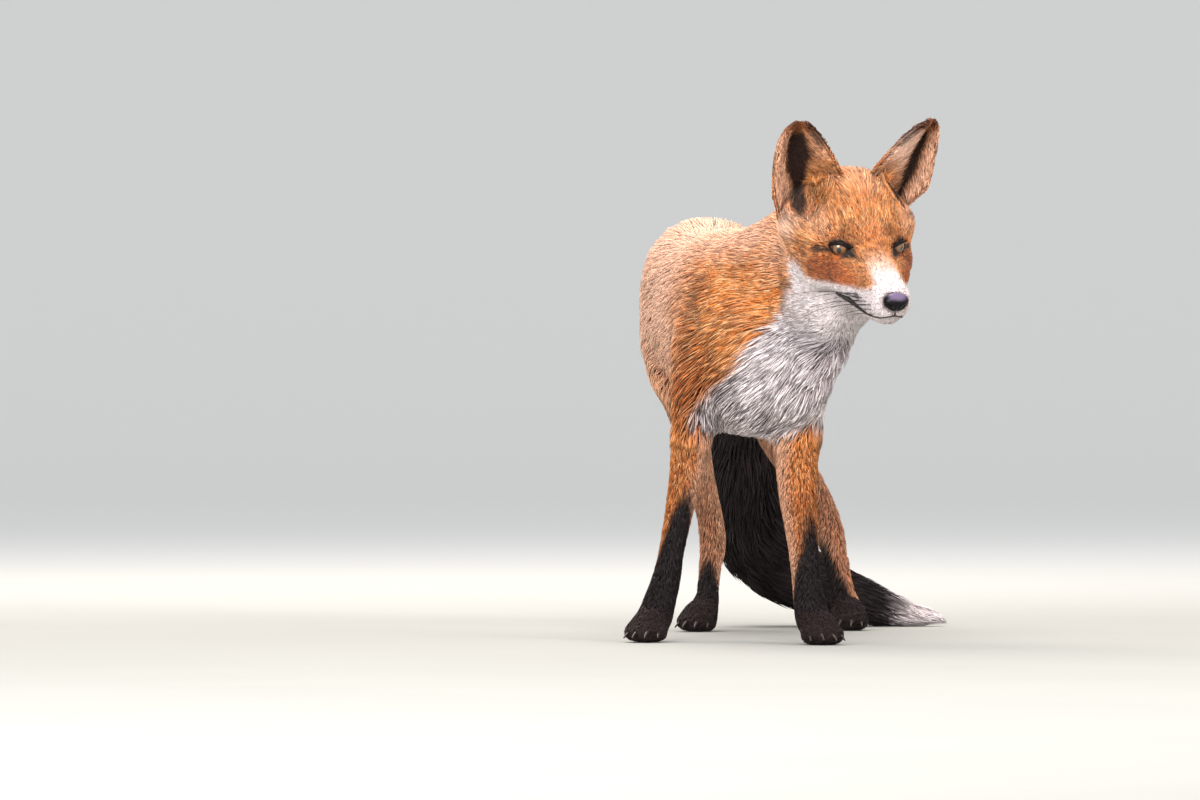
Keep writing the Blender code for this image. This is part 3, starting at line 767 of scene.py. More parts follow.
class Pattern:
    """The markings at places on the skin or the coat."""

    def __init__(self, points: Array, normals: Array, names: Array) -> None:
        """Works out the coordinates that the markings go by.

        Args:
            points: Places in metres.
            normals: The surface's normals there.
            names: The node of flesh that each place belongs to.
        """
        self.places = points / MM
        self.normals = normals
        self.names = names
        head = on_head(points)
        self.left = mirrored(head)
        self.at = dict(zip("xyz", self.places.T)) | dict(zip(("hx", "hy", "hz"), head.T))
        self.at |= {"side": self.left[:, 0], "nx": normals[:, 0],
                    "across": np.abs(self.at["x"] - KEEL)}
        self.on_head = np.isin(names, ON_HEAD).astype(float)
        self.off_head = 1 - self.on_head
        self.leg = np.isin(names, LEGS)
        self.tail = np.isin(names, TAIL)
        self.trunk = names == "trunk"
        self.tip = names == "tail_tip"
        inward = normals[:, 0] * np.where(self.at["x"] > BETWEEN_LEGS, -1, 1)
        self.inner = self.leg * ramp(inward, *INNER_LEG) * INNER_PALE

    def box(self, name: str) -> Array:
        """How far each place lies inside one of the soft boxes."""
        return np.prod([ramp(self.at[axis], *bounds) for axis, bounds in BOXES[name].items()], axis=0)

    def bib(self) -> Array:
        """The white bib of throat and breast."""
        edge = np.interp(self.at["z"], *BIB_EDGE)
        bib = ramp(self.at["x"], edge - BIB_BLEND, edge + BIB_BLEND) * self.box("bib")
        bib *= np.maximum(self.box("bib_side"), self.box("bib_front"))
        return bib * np.where(self.leg, self.box("bib_on_leg"), self.box("bib_on_body"))

    def white(self) -> Array:
        """White of the muzzle, lips, cheeks, chin, bib and belly and of the tip of the tail."""
        ahead, height = self.at["hy"], self.at["hz"]
        line, blend = np.interp(ahead, *CHEEK_LINE), np.interp(ahead, *CHEEK_BLEND)
        rear = np.interp(height, *CHEEK_REAR)
        cheek = ramp(height, line + blend, line - blend) * ramp(ahead, rear + 6, rear - 4)
        face = np.maximum.reduce((cheek, self.box("muzzle"), self.box("chin")))
        return np.maximum.reduce((
            face * self.on_head, self.bib() * np.maximum(self.off_head, self.box("bib_on_head")),
            self.box("belly") * self.trunk, within(self.places, *ELBOW) * self.trunk,
            self.box("tip_white") * self.tip))

    def black(self) -> Array:
        """Black of the eyes' corners, the socks, the paws and the tail, with painted shade in the ears'
        hollows, under the chin, on the bib and in the fold of the neck.
        """
        # Painted shade in the ears' hollows; on the fox's left it stays only far out.
        canal_shade = strongest(self.left, CANAL_SHADE_SPOTS)
        canal_shade *= np.where(self.at["hx"] > 0, self.box("left_canal_shade"), 1)
        black = np.maximum.reduce((
            *(stroke(self.left, path, radius) * share for path, radius, share in DARK_STROKES),
            strongest(self.left, DARK_SPOTS), canal_shade)) * self.on_head
        height = self.at["z"]
        for name, ((ahead_x, ahead_y), top, bottom, square) in SOCKS.items():
            facing = self.normals[:, 0] * ahead_x + self.normals[:, 1] * ahead_y
            needed = (SOCK_FACING[0], square, SOCK_FACING[1])
            limit = np.interp(height, (bottom, (bottom + top) / 2, top), needed)
            sock = ramp(facing, limit - SOCK_BLEND, limit + SOCK_BLEND)
            black = np.where(self.names == name, np.maximum(black, sock), black)
        black = np.where(np.isin(self.names, PAWS), PAW_BLACK, black)
        tail = self.box("tail_black") * (1 - self.box("tip_not_black") * self.tip)
        black = np.where(self.tail, tail, black)
        # Painted shade on the neck: the shadow under the chin, the darker bib and the fold.
        path, radius, share = NECK_FOLD_SHADE
        neck = np.maximum.reduce((within(self.places, *UNDER_CHIN_SHADOW), BIB_SHADE * self.bib(),
                                  stroke(self.places, path, radius) * share))
        return np.maximum(black, neck * self.off_head)

    def pale(self) -> Array:
        """Paler coat of the rump, flank, crown, nape, inner legs and hind legs; on the rump and the hind
        legs it is partly painted light.
        """
        # Partly painted light from above, halved where the surface faces the fox's left.
        rump = self.off_head * self.box("rump") * RUMP_PALE_AND_LIGHT * (1 - 0.5 * self.box("left_flank"))
        head = sum(within(self.left, *spot) for spot in PALE_SPOTS)
        head = np.maximum(head, self.box("bridge") * BRIDGE_PALE)
        # Partly painted light that lifts the hind legs out of the body's shade.
        hind = np.char.startswith(self.names, "hindleg") * HINDLEG_PALE_AND_LIGHT
        pale = np.maximum.reduce((rump, head * self.on_head, self.inner, hind))
        return np.maximum.reduce((
            np.where(self.tail, 0, pale), within(self.left, *BEHIND_EAR),
            self.off_head * self.box("nape") * NAPE_PALE))

    def russet(self) -> Array:
        """Deeper red about the eyes, on the shoulder and down the legs."""
        return np.maximum.reduce((
            strongest(self.left, RUSSET_SPOTS) * self.on_head,
            within(self.places, *SHOULDER) * self.off_head,
            self.box("leg_russet") * LEG_RUSSET * (1 - self.inner) * self.leg))

    def marks(self) -> Array:
        """One row for each place and one column for each Mark, from zero to one."""
        return np.clip(np.column_stack([getattr(self, mark.name.lower())() for mark in Mark]), 0, 1)


# ---------------------------------------------------------------- finishes


class Finish:
    """A material in the making: one Principled shader and the nodes that feed it."""

    def __init__(self, name: str, sockets: dict[str, object]) -> None:
        """Starts a material.

        Args:
            name: Name of the real material.
            sockets: Values of the shader's own sockets.
        """
        self.material = bpy.data.materials.new(name)
        self.material.use_nodes = True
        self.tree = self.material.node_tree
        self.shader = self.tree.nodes["Principled BSDF"]
        for label, value in sockets.items():
            self.shader.inputs[label].default_value = value

    def add(self, kind: str, settings: Optional[dict[str, object]] = None,
            links: Optional[dict[object, object]] = None) -> bpy.types.Node:
        """Adds a node.

        Args:
            kind: Its type, without the leading ShaderNode.
            settings: Its properties by name.
            links: For each input, a socket to join to it or a value.

        Returns:
            The new node.
        """
        node = self.tree.nodes.new(f"ShaderNode{kind}")
        for label, value in (settings or {}).items():
            setattr(node, label, value)
        for label, value in (links or {}).items():
            self.feed(node.inputs[label], value)
        return node

    def feed(self, socket: bpy.types.NodeSocket, value: object) -> None:
        """Joins a socket to another or gives it a value."""
        if isinstance(value, bpy.types.NodeSocket):
            self.tree.links.new(value, socket)
        else:
            socket.default_value = value

    def layered(self, base: object, *layers: tuple[object, object]) -> object:
        """Lays colours over each other, each by its own share.

        Args:
            base: The lowest colour, or a socket that gives it.
            layers: Pairs of a share and a colour, the lowest first.

        Returns:
            The socket of the topmost colour.
        """
        colour = base
        for share, cover in layers:
            mixed = self.add("Mix", {"data_type": "RGBA"}, {0: share, 6: colour, 7: cover})
            colour = mixed.outputs[2]
        return colour

    def scaled(self, value: object, start: Pair, end: Pair = (0.0, 1.0), soft: bool = False) -> object:
        """A socket whose value goes from one pair of ends to another and stays within them."""
        curve = {"interpolation_type": "SMOOTHSTEP" if soft else "LINEAR"}
        links = {0: value, 1: start[0], 2: start[1], 3: end[0], 4: end[1]}
        return self.add("MapRange", curve, links).outputs[0]

    def math(self, kind: str, *values: object) -> object:
        """A socket that gives the result of a sum."""
        return self.add("Math", {"operation": kind}, dict(enumerate(values))).outputs[0]

    def attribute(self, name: str) -> bpy.types.Node:
        """A node that reads values stored on the mesh."""
        return self.add("Attribute", {"attribute_name": name})

    def parts(self, colour: object) -> list[object]:
        """The sockets of a colour's three channels."""
        return list(self.add("SeparateColor", links={0: colour}).outputs)

    def place(self) -> object:
        """The socket of the object's own coordinates."""
        return self.add("TexCoord").outputs["Object"]

    def noise(self, spot: object, scale: float, detail: float) -> object:
        """A socket of soft noise."""
        return self.add("TexNoise", links={"Vector": spot, "Scale": scale, "Detail": detail}).outputs[0]

    def done(self, colour: object, bump: Optional[bpy.types.Node] = None) -> bpy.types.Material:
        """Joins the colour and the relief to the shader and returns the material."""
        self.feed(self.shader.inputs["Base Color"], colour)
        if bump is not None:
            self.feed(self.shader.inputs["Normal"], bump.outputs[0])
        return self.material


@dataclass(frozen=True)
class FurFinish:
    """Red fox fur: matt keratin hair, warm at the tips and dark grey-brown at the roots.

    The eye sees thousands of thin hairs that differ a little in tone, with dark gaps between
    the locks and a faint sheen where light grazes them. Skin uses it too, as the underfur.

    Attributes:
        name: Name of the material.
        shade: How much of the underfur's tone shows at the root of a hair.
        fibre: Spacing of the finest streaks that still show.
        patch: Size of the broad uneven patches of tone.
    """

    name: str = "red_fox_fur"
    orange: str = "E08B40"
    ginger: str = "C97434"
    sand: str = "F3C592"
    pale: str = "F8CCB2"
    russet: str = "984018"
    white: str = "F7EFF1"
    grey: str = "8F808A"
    black: str = "140A0D"
    brown: str = "2A191D"
    underfur: str = "6B4632"
    guard: str = "5E3420"
    shade: float = 0.8
    fibre: float = 0.45
    patch: float = 24.0

    def material(self) -> bpy.types.Material:
        """Builds the material."""
        finish = Finish(self.name, {"Roughness": 0.60, "IOR": 1.55, "Specular IOR Level": 0.20,
                                    "Sheen Weight": 0.05, "Sheen Roughness": 0.45})
        marks = finish.attribute("marks")
        in_white, in_black, in_pale = finish.parts(marks.outputs["Color"])
        strand = finish.attribute("strand")
        tint, along, lock = finish.parts(strand.outputs["Color"])
        spot = finish.place()
        broad = finish.noise(spot, 1 / (self.patch * MM), 2.0)
        fine = finish.noise(spot, 1 / (4 * self.fibre * MM), 1.0)
        # Broad uneven tone, pale sandy tufts and a few dark guard hairs.
        uneven = finish.scaled(broad, (0.35, 0.65), (0.0, 0.7))
        sandy = finish.scaled(tint, (0.45, 0.95), (0.0, 0.75))
        guards = finish.scaled(tint, (0.14, 0.02), (0.0, 0.75))
        ginger, guard = linear(self.ginger), linear(self.guard)
        base = finish.layered(
            linear(self.orange), (uneven, ginger), (sandy, linear(self.sand)), (guards, guard))
        pale = finish.layered(base, (in_pale, linear(self.pale)))
        rust = finish.layered(linear(self.russet), (sandy, ginger), (guards, guard))
        red = finish.layered(pale, (marks.outputs["Alpha"], rust))
        # White hair shows its grey roots where the coat is long; on the body's white bib this greying also
        # stands in for painted shade.
        greyed = finish.scaled(lock, (0.30, 1.0), (0.0, 0.95))
        long = finish.math("MULTIPLY", greyed, strand.outputs["Alpha"])
        white = finish.layered(linear(self.white), (long, linear(self.grey)))
        brown = finish.math("POWER", tint, 3.0)
        dark = finish.layered(linear(self.black), (brown, linear(self.brown)))
        marked = finish.layered(red, (in_white, white), (in_black, dark))
        root = finish.scaled(along, (0.0, 0.8), (self.shade, 0.0))
        rooted = finish.add("Mix", {"data_type": "RGBA", "blend_type": "MULTIPLY"}, {
            0: root, 6: marked, 7: linear(self.underfur)})
        # Most locks are alike in tone, and about a quarter of them sink into shadow.
        sunk = finish.scaled(lock, (0.62, 0.98), (1.10, 0.55), soft=True)
        lift = finish.scaled(lock, (0.0, 0.62), (1.08, 0.94))
        grain = finish.math("MULTIPLY_ADD", fine, 0.40, 0.80)
        light = finish.math("MULTIPLY", finish.math("MULTIPLY", sunk, grain), lift)
        toned = finish.add("VectorMath", {"operation": "SCALE"}, {0: rooted.outputs[2], "Scale": light})
        bump = finish.add("Bump", links={
            "Height": fine, "Strength": 0.35, "Distance": self.fibre * MM})
        return finish.done(toned.outputs[0], bump)


@dataclass(frozen=True)
class EyeFinish:
    """A wet eyeball: amber iris with radial streaks, a dark slit pupil and a mirror-like coat.

    The eye catches the light as a small sharp highlight, and its rim is darker than its middle.
    """

    amber: str = "55351F"
    gold: str = "86603F"
    rim: str = "1C0F09"
    white: str = "6B5248"
    pupil: str = "080606"

    def material(self) -> bpy.types.Material:
        """Builds the material, which reads the place on the eye from its attribute."""
        finish = Finish("wet_eye", {"Roughness": 0.18, "IOR": 1.38, "Coat Weight": 1.0,
                                    "Coat Roughness": 0.02, "Coat IOR": 1.6})
        ring, slit, angle = finish.parts(finish.attribute("iris").outputs["Color"])
        spokes = finish.add("CombineXYZ", links={0: ring, 1: angle})
        streaks = finish.noise(spokes.outputs[0], 9.0, 4.0)
        lift = finish.scaled(streaks, (0.3, 0.7))
        edge = finish.scaled(ring, (0.62, 0.98))
        outside = finish.scaled(ring, (0.98, 1.06))
        inside = finish.scaled(slit, (1.45, 0.80))
        return finish.done(finish.layered(
            linear(self.amber), (lift, linear(self.gold)), (edge, linear(self.rim)),
            (outside, linear(self.white)), (inside, linear(self.pupil))))


@dataclass(frozen=True)
class SmoothFinish:
    """A bare part: lid, lip, nose leather, claw horn or whisker.

    Attributes:
        name: Name of the material.
        low: Colour in the hollows.
        high: Colour on the bosses.
        roughness: How matt it is.
        grain: Size of its pebbles or fibres.
        relief: Depth of the grain.
        wet: Weight of the wet film over it.
        painted_sheen: Colour of a painted sheen, laid where the piece's own attribute of this name is one.
        gloss: How strongly it mirrors, where one half is plain dry matter.
    """

    name: str
    low: str
    high: str
    roughness: float
    grain: float
    relief: float
    wet: float = 0.0
    painted_sheen: str = "000000"
    gloss: float = 0.5

    def material(self) -> bpy.types.Material:
        """Builds the material."""
        finish = Finish(self.name, {"Roughness": self.roughness, "IOR": 1.5,
                                    "Specular IOR Level": self.gloss,
                                    "Coat Weight": self.wet, "Coat Roughness": 0.2})
        spot = finish.place()
        cells = finish.add("TexVoronoi", {"feature": "SMOOTH_F1"}, {
            "Vector": spot, "Scale": 1 / (self.grain * MM)}).outputs["Distance"]
        cloud = finish.noise(spot, 0.2 / (self.grain * MM), 3.0)
        level = finish.scaled(finish.math("MULTIPLY", cells, cloud), (0.05, 0.45))
        # Painted sheen: a fixed colour laid over the rest where the piece's attribute says so.
        top = finish.attribute("painted_sheen")
        colour = finish.layered(
            linear(self.high), (level, linear(self.low)), (top.outputs["Fac"], linear(self.painted_sheen)))
        return finish.done(colour, finish.add("Bump", {"invert": True}, {
            "Height": cells, "Strength": 0.8, "Distance": self.relief * MM}))


# Nose leather: wet, finely pebbled black skin, with a cool sheen from the sky painted on its top.
NOSE_LEATHER = SmoothFinish("nose_leather", "030203", "0B080C", 0.36, 0.8, 0.06, 0.05, "6B5C7A", 0.16)
# Lid and lip: smooth black skin, a little moist.
LID_SKIN = SmoothFinish("lid_skin", "050304", "120B0C", 0.6, 0.6, 0.04, gloss=0.15)
LIP_SKIN = SmoothFinish("lip_skin", "0F0A0B", "2B1F20", 0.55, 0.7, 0.06, 0.1)
# Claw: dark horn with a soft polish from wear.
CLAW_HORN = SmoothFinish("claw_horn", "0D0908", "2A1E18", 0.45, 1.2, 0.03)
# Whisker: stiff black hair, smooth and slightly glossy.
WHISKER_HAIR = SmoothFinish("whisker_hair", "141012", "2A2326", 0.4, 0.9, 0.01)


# ---------------------------------------------------------------- coat


@dataclass(frozen=True)
class Hide:
    """A surface that coat grows from, with its fields, one value for each point.

    Its marks are those of the coat, and bare holds those of the skin between the hairs. Where
    loose is one, the tips of the hairs run straight on instead of following the skin.
    """

    surface: Surface
    normals: Array
    flow: Array
    depth: Array
    length: Array
    width: Array
    density: Array
    marks: Array
    bare: Array
    loose: Array


@dataclass(frozen=True)
class Tuft:
    """The build of one tuft: a closed spindle of rings of three points.

    Attributes:
        levels: Where its rings and its tip stand, as shares of its length.
        heights: How high they stand, as shares of the depth of the coat.
        girths: Width of each ring as a share of the tuft's width.
        flat: Thickness of a ring as a share of its width.
        sides: How many points a ring has.
    """

    levels: tuple[float, ...]
    heights: tuple[float, ...]
    girths: tuple[float, ...]
    flat: float = 0.5
    sides: int = 3

    def faces(self) -> Array:
        """The triangles of one tuft."""
        around = range(self.sides)
        rings = [[1 + self.sides * ring + side for side in around]
                 for ring in range(len(self.girths))]
        tip = 1 + self.sides * len(self.girths)
        out = [(0, rings[0][side - 1], rings[0][side]) for side in around]
        for low, high in zip(rings, rings[1:]):
            out += [(low[side], low[side - 1], high[side]) for side in around]
            out += [(low[side - 1], high[side - 1], high[side]) for side in around]
        out += [(rings[-1][side], rings[-1][side - 1], tip) for side in around]
        return np.array(out)

    def places(self) -> Array:
        """Where each point of one tuft stands on it: share around and share along."""
        rows = [(0.5, 0.0)]
        for level in self.levels[:len(self.girths)]:
            rows += [(side / self.sides, level) for side in range(self.sides)]
        return np.array([*rows, (0.5, 1.0)])


SHORT = Tuft((0.4, 1.0), (0.75, 1.0), (1.0,))
LONG = Tuft((0.3, 0.66, 1.0), (0.68, 0.94, 1.0), (1.0, 0.72))
BAKE_MAP = "OFBake"
BAKE_PATCH = 0.003  # how far a tuft's patch reaches across the map
UNDERFUR_STRAND = (0.4, 0.3, 0.5, 0.5)  # tint, place along, lock and grey of the skin


def unwrap(surface: Surface, chosen: Array) -> Array:
    """Unwraps some triangles of a surface by their own shape.

    Args:
        surface: The surface.
        chosen: The numbers of the triangles.

    Returns:
        Three places on the unwrap for each chosen triangle.
    """
    used, faces = np.unique(surface.faces[chosen], return_inverse=True)
    thing = link("unwrap", array_mesh("unwrap", surface.points[used], faces.reshape(-1, 3)))
    thing.data.uv_layers.new(name=BAKE_MAP)
    bpy.context.view_layer.objects.active = thing
    bpy.ops.object.mode_set(mode="EDIT")
    bpy.ops.mesh.select_all(action="SELECT")
    bpy.ops.uv.smart_project(angle_limit=math.radians(66), island_margin=0.004)
    bpy.ops.object.mode_set(mode="OBJECT")
    spots = np.empty(len(thing.data.loops) * 2)
    thing.data.uv_layers[BAKE_MAP].data.foreach_get("uv", spots)
    bpy.data.objects.remove(thing)
    return spots.reshape(-1, 3, 2)


@dataclass(frozen=True)
class Coat:
    """One piece of the coat.

    Attributes:
        name: Name of the piece.
        count: How many tufts it has.
        tuft: Their build.
        lock: Distance between the locks that tufts gather into.
        gather: How strongly they gather at the tips, from zero to one.
        stray: How far a tuft turns out of the lie, in degrees.
        grey: How much of the grey roots shows where it is white. Where it is high, on the body, it also
            greys the bib as painted shade.
        contrast: How far its tufts differ in tone.
        lengths: Least and greatest length of a tuft as a share of the coat's.
        widths: The same for its width.
        rises: The same for the height that its tip reaches.
        sunk: How far a root lies below the skin.
        lowest: How near a tuft comes to the skin or to the ground.
    """

    name: str
    count: int
    tuft: Tuft
    lock: float
    gather: float = 0.5
    stray: float = 9.0
    grey: float = 1.0
    contrast: float = 1.0
    lengths: Pair = (0.72, 1.18)
    widths: Pair = (0.7, 1.25)
    rises: Pair = (0.70, 1.06)
    sunk: float = 0.6
    lowest: float = 0.3

    def grow(self, hide: Hide, tree: BVHTree, chosen: Array, rng: np.random.Generator,
             material: bpy.types.Material) -> bpy.types.Object:
        """Grows the piece.

        Args:
            hide: The surface that it grows from.
            tree: Search tree of the surface.
            chosen: Numbers of the triangles that it grows on.
            rng: Source of the random draws.
            material: Finish of the coat.

        Returns:
            The new piece.
        """
        faces = hide.surface.faces
        area = np.linalg.norm(hide.surface.face_normals()[chosen], axis=1)
        weight = np.cumsum(area * hide.density[faces[chosen]].mean(axis=1))
        draws = (np.arange(self.count) + rng.random(self.count)) / self.count * weight[-1]
        picked = np.searchsorted(weight, draws).clip(0, len(chosen) - 1)
        share = np.sqrt(rng.random(self.count))
        other = rng.random(self.count)
        corners = np.column_stack((1 - share, share * (1 - other), share * other))
        root_faces = faces[chosen[picked]]

        def at_root(field: Array) -> Array:
            """A field's values at the roots."""
            spread = corners.reshape(self.count, 3, *[1] * (field.ndim - 1))
            return (field[root_faces] * spread).sum(axis=1)

        roots, normals = at_root(hide.surface.points), unit(at_root(hide.normals))
        turn = np.radians(rng.normal(0, self.stray, self.count))[:, None]
        way = unit(at_root(hide.flow))
        way = way * np.cos(turn) + np.cross(normals, way) * np.sin(turn)
        length = at_root(hide.length) * rng.uniform(*self.lengths, self.count)
        width = at_root(hide.width) * rng.uniform(*self.widths, self.count)
        rise = rng.uniform(*self.rises, self.count)
        spine, marks = self.march(hide, tree, roots, normals, way, length, rise,
                                  at_root(hide.loose)[:, None])
        spine, lock = self.gathered(spine, rng)
        spots = (unwrap(hide.surface, chosen)[picked] * corners[:, :, None]).sum(axis=1)
        return self.build(spine, normals, width, marks, lock, rng, material, spots)

    def march(self, hide: Hide, tree: BVHTree, roots: Array, normals: Array, way: Array,
              length: Array, rise: Array, loose: Array) -> tuple[Array, Array]:
        """Leads each tuft over the surface along the lie of the coat.

        Args:
            hide: The surface.
            tree: Search tree of the surface.
            roots: Where the tufts stand.
            normals: The surface's normals there.
            way: The way in which each tuft sets out.
            length: Length of each tuft.
            rise: How high each tuft's tip reaches, as a share of the coat's depth.
            loose: How freely each tip hangs.

        Returns:
            The spines, one row of places for each tuft, and the markings that they take.
        """
        spine = [roots - normals * self.sunk * MM]
        ground, turned, foot = roots, way, roots
        marks = np.zeros((self.count, 4))
        before = 0.0
        final = len(self.tuft.levels) - 1
        for number, (level, height) in enumerate(zip(self.tuft.levels, self.tuft.heights)):
            ground = ground + turned * ((level - before) * length)[:, None]
            before = level
            straight = ground + (spine[-1] - foot)
            ground, triangles, _ = nearest(tree, ground)
            local = hide.surface.faces[triangles]
            normal = unit(hide.normals[local].mean(axis=1))
            depth = hide.depth[local].mean(axis=1) * height * rise
            place = ground + normal * np.maximum(depth, self.lowest * MM)[:, None]
            if number == final:
                place += (straight - place) * loose
            spine.append(place)
            foot = ground
            turned = unit(turned * 0.5 + unit(hide.flow[local].mean(axis=1)) * 0.5)
            if number == final - 1:
                marks = hide.marks[local].mean(axis=1)
        return np.stack(spine, axis=1), marks

    def gathered(self, spine: Array, rng: np.random.Generator) -> tuple[Array, Array]:
        """Draws the tips of neighbours together into locks.

        Args:
            spine: The spines, one row of places for each tuft.
            rng: Source of the random draws.

        Returns:
            The spines, and for each tuft a random value that its lock shares.
        """
        cell = self.lock * MM
        key = np.floor((spine[:, 0] + rng.normal(0, 0.16, (self.count, 3)) * cell) / cell)
        _, guide, member = np.unique(key.astype(int), axis=0, return_index=True,
                                     return_inverse=True)
        leader = guide[member.ravel()]
        strength = self.gather * rng.uniform(0.5, 1.3, self.count)
        out = spine.copy()
        for level in range(1, spine.shape[1]):
            pull = (strength * (level / (spine.shape[1] - 1)) ** 1.3).clip(0, 0.92)[:, None]
            follow = spine[leader, level] + (spine[:, 0] - spine[leader, 0]) * 0.2
            out[:, level] = spine[:, level] * (1 - pull) + follow * pull
        tones = rng.random(len(guide))
        return out, tones[member.ravel()]

    def build(self, spine: Array, normals: Array, width: Array, marks: Array, lock: Array,
              rng: np.random.Generator, material: bpy.types.Material,
              spots: Array) -> bpy.types.Object:
        """Makes the piece from its spines.

        Args:
            spine: The spines, one row of places for each tuft.
            normals: The surface's normals at the roots.
            width: Width of each tuft.
            marks: Markings of each tuft.
            lock: The value that each tuft's lock shares.
            rng: Source of the random draws.
            material: Finish of the coat.
            spots: Where each root lies on the unwrap.

        Returns:
            The new piece.
        """
        tip = spine.shape[1] - 1
        rows = [spine[:, :1]]
        for ring, girth in enumerate(self.tuft.girths, start=1):
            ahead = unit(spine[:, min(ring + 1, tip)] - spine[:, ring - 1])
            aside = unit(np.cross(normals, ahead))
            above = np.cross(ahead, aside)
            for side in range(self.tuft.sides):
                angle = math.tau * side / self.tuft.sides + math.pi / 2
                reach = aside * math.cos(angle) + above * math.sin(angle) * self.tuft.flat
                rows.append((spine[:, ring] + reach * (width * girth / 2)[:, None])[:, None])
        rows.append(spine[:, tip:])
        points = np.concatenate(rows, axis=1)
        each = points.shape[1]
        flat = points.reshape(-1, 3)
        flat[:, 2] = np.maximum(flat[:, 2], self.lowest * MM)
        faces = self.tuft.faces()[None] + (np.arange(self.count) * each)[:, None, None]
        faces = faces.reshape(-1, 3)
        mesh = array_mesh(self.name, flat, faces)
        stand = self.tuft.places()
        strand = np.zeros((self.count, each, 4))
        strand[:, :, 0] = rng.random(self.count)[:, None]
        strand[:, :, 1] = stand[:, 1]
        spread = 1 + (self.contrast - 1) * (1 - 1.4 * marks[:, Mark.WHITE.value])
        tone = (lock + rng.random(self.count) - 1) * 0.5 * spread + 0.5
        strand[:, :, 2] = tone.clip(0, 1)[:, None]
        strand[:, :, 3] = self.grey
        paint(mesh, "strand", strand.reshape(-1, 4))
        paint(mesh, "marks", np.repeat(marks, each, axis=0))
        patch = spots[:, None] + (stand - 0.5)[None] * BAKE_PATCH
        layer = mesh.uv_layers.new(name=BAKE_MAP)
        layer.data.foreach_set("uv", patch.reshape(-1, 2)[faces.ravel()].astype(np.float32).ravel())
        return ridden(self.name, mesh, material)


# ---------------------------------------------------------------- drawn parts


def tubes(name: str, paths: Sequence[Array], radii: Sequence[Sequence[float]],
          material: bpy.types.Material, detail: int = 3, closed: bool = False) -> bpy.types.Object:
    """Draws round, tapering parts along smooth paths.

    Args:
        name: Name of the piece.
        paths: Places along each part, in metres.
        radii: Its radius at each of these places.
        material: Its finish.
        detail: How finely it is rounded.
        closed: Whether each path runs back into its own start.

    Returns:
        The new piece.
    """
    curve = bpy.data.curves.new(name, "CURVE")
    curve.dimensions = "3D"
    curve.bevel_depth = 1.0
    curve.bevel_resolution = detail
    curve.use_fill_caps = True
    for path, widths in zip(paths, radii):
        spline = curve.splines.new("NURBS")
        spline.points.add(len(path) - 1)
        for point, place, width in zip(spline.points, path, widths):
            point.co = (*place, 1)
            point.radius = width * MM
        spline.order_u = 3
        spline.resolution_u = 4
        spline.use_endpoint_u = not closed
        spline.use_cyclic_u = closed
    drawn = link(name, curve)
    bpy.context.view_layer.update()
    mesh = bpy.data.meshes.new_from_object(drawn)
    bm = bmesh.new()
    bm.from_mesh(mesh)
    bpy.data.objects.remove(drawn)
    bpy.data.curves.remove(curve)
    bpy.data.meshes.remove(mesh)
    bmesh.ops.remove_doubles(bm, verts=bm.verts, dist=WELD)
    return finished(name, bm, material)


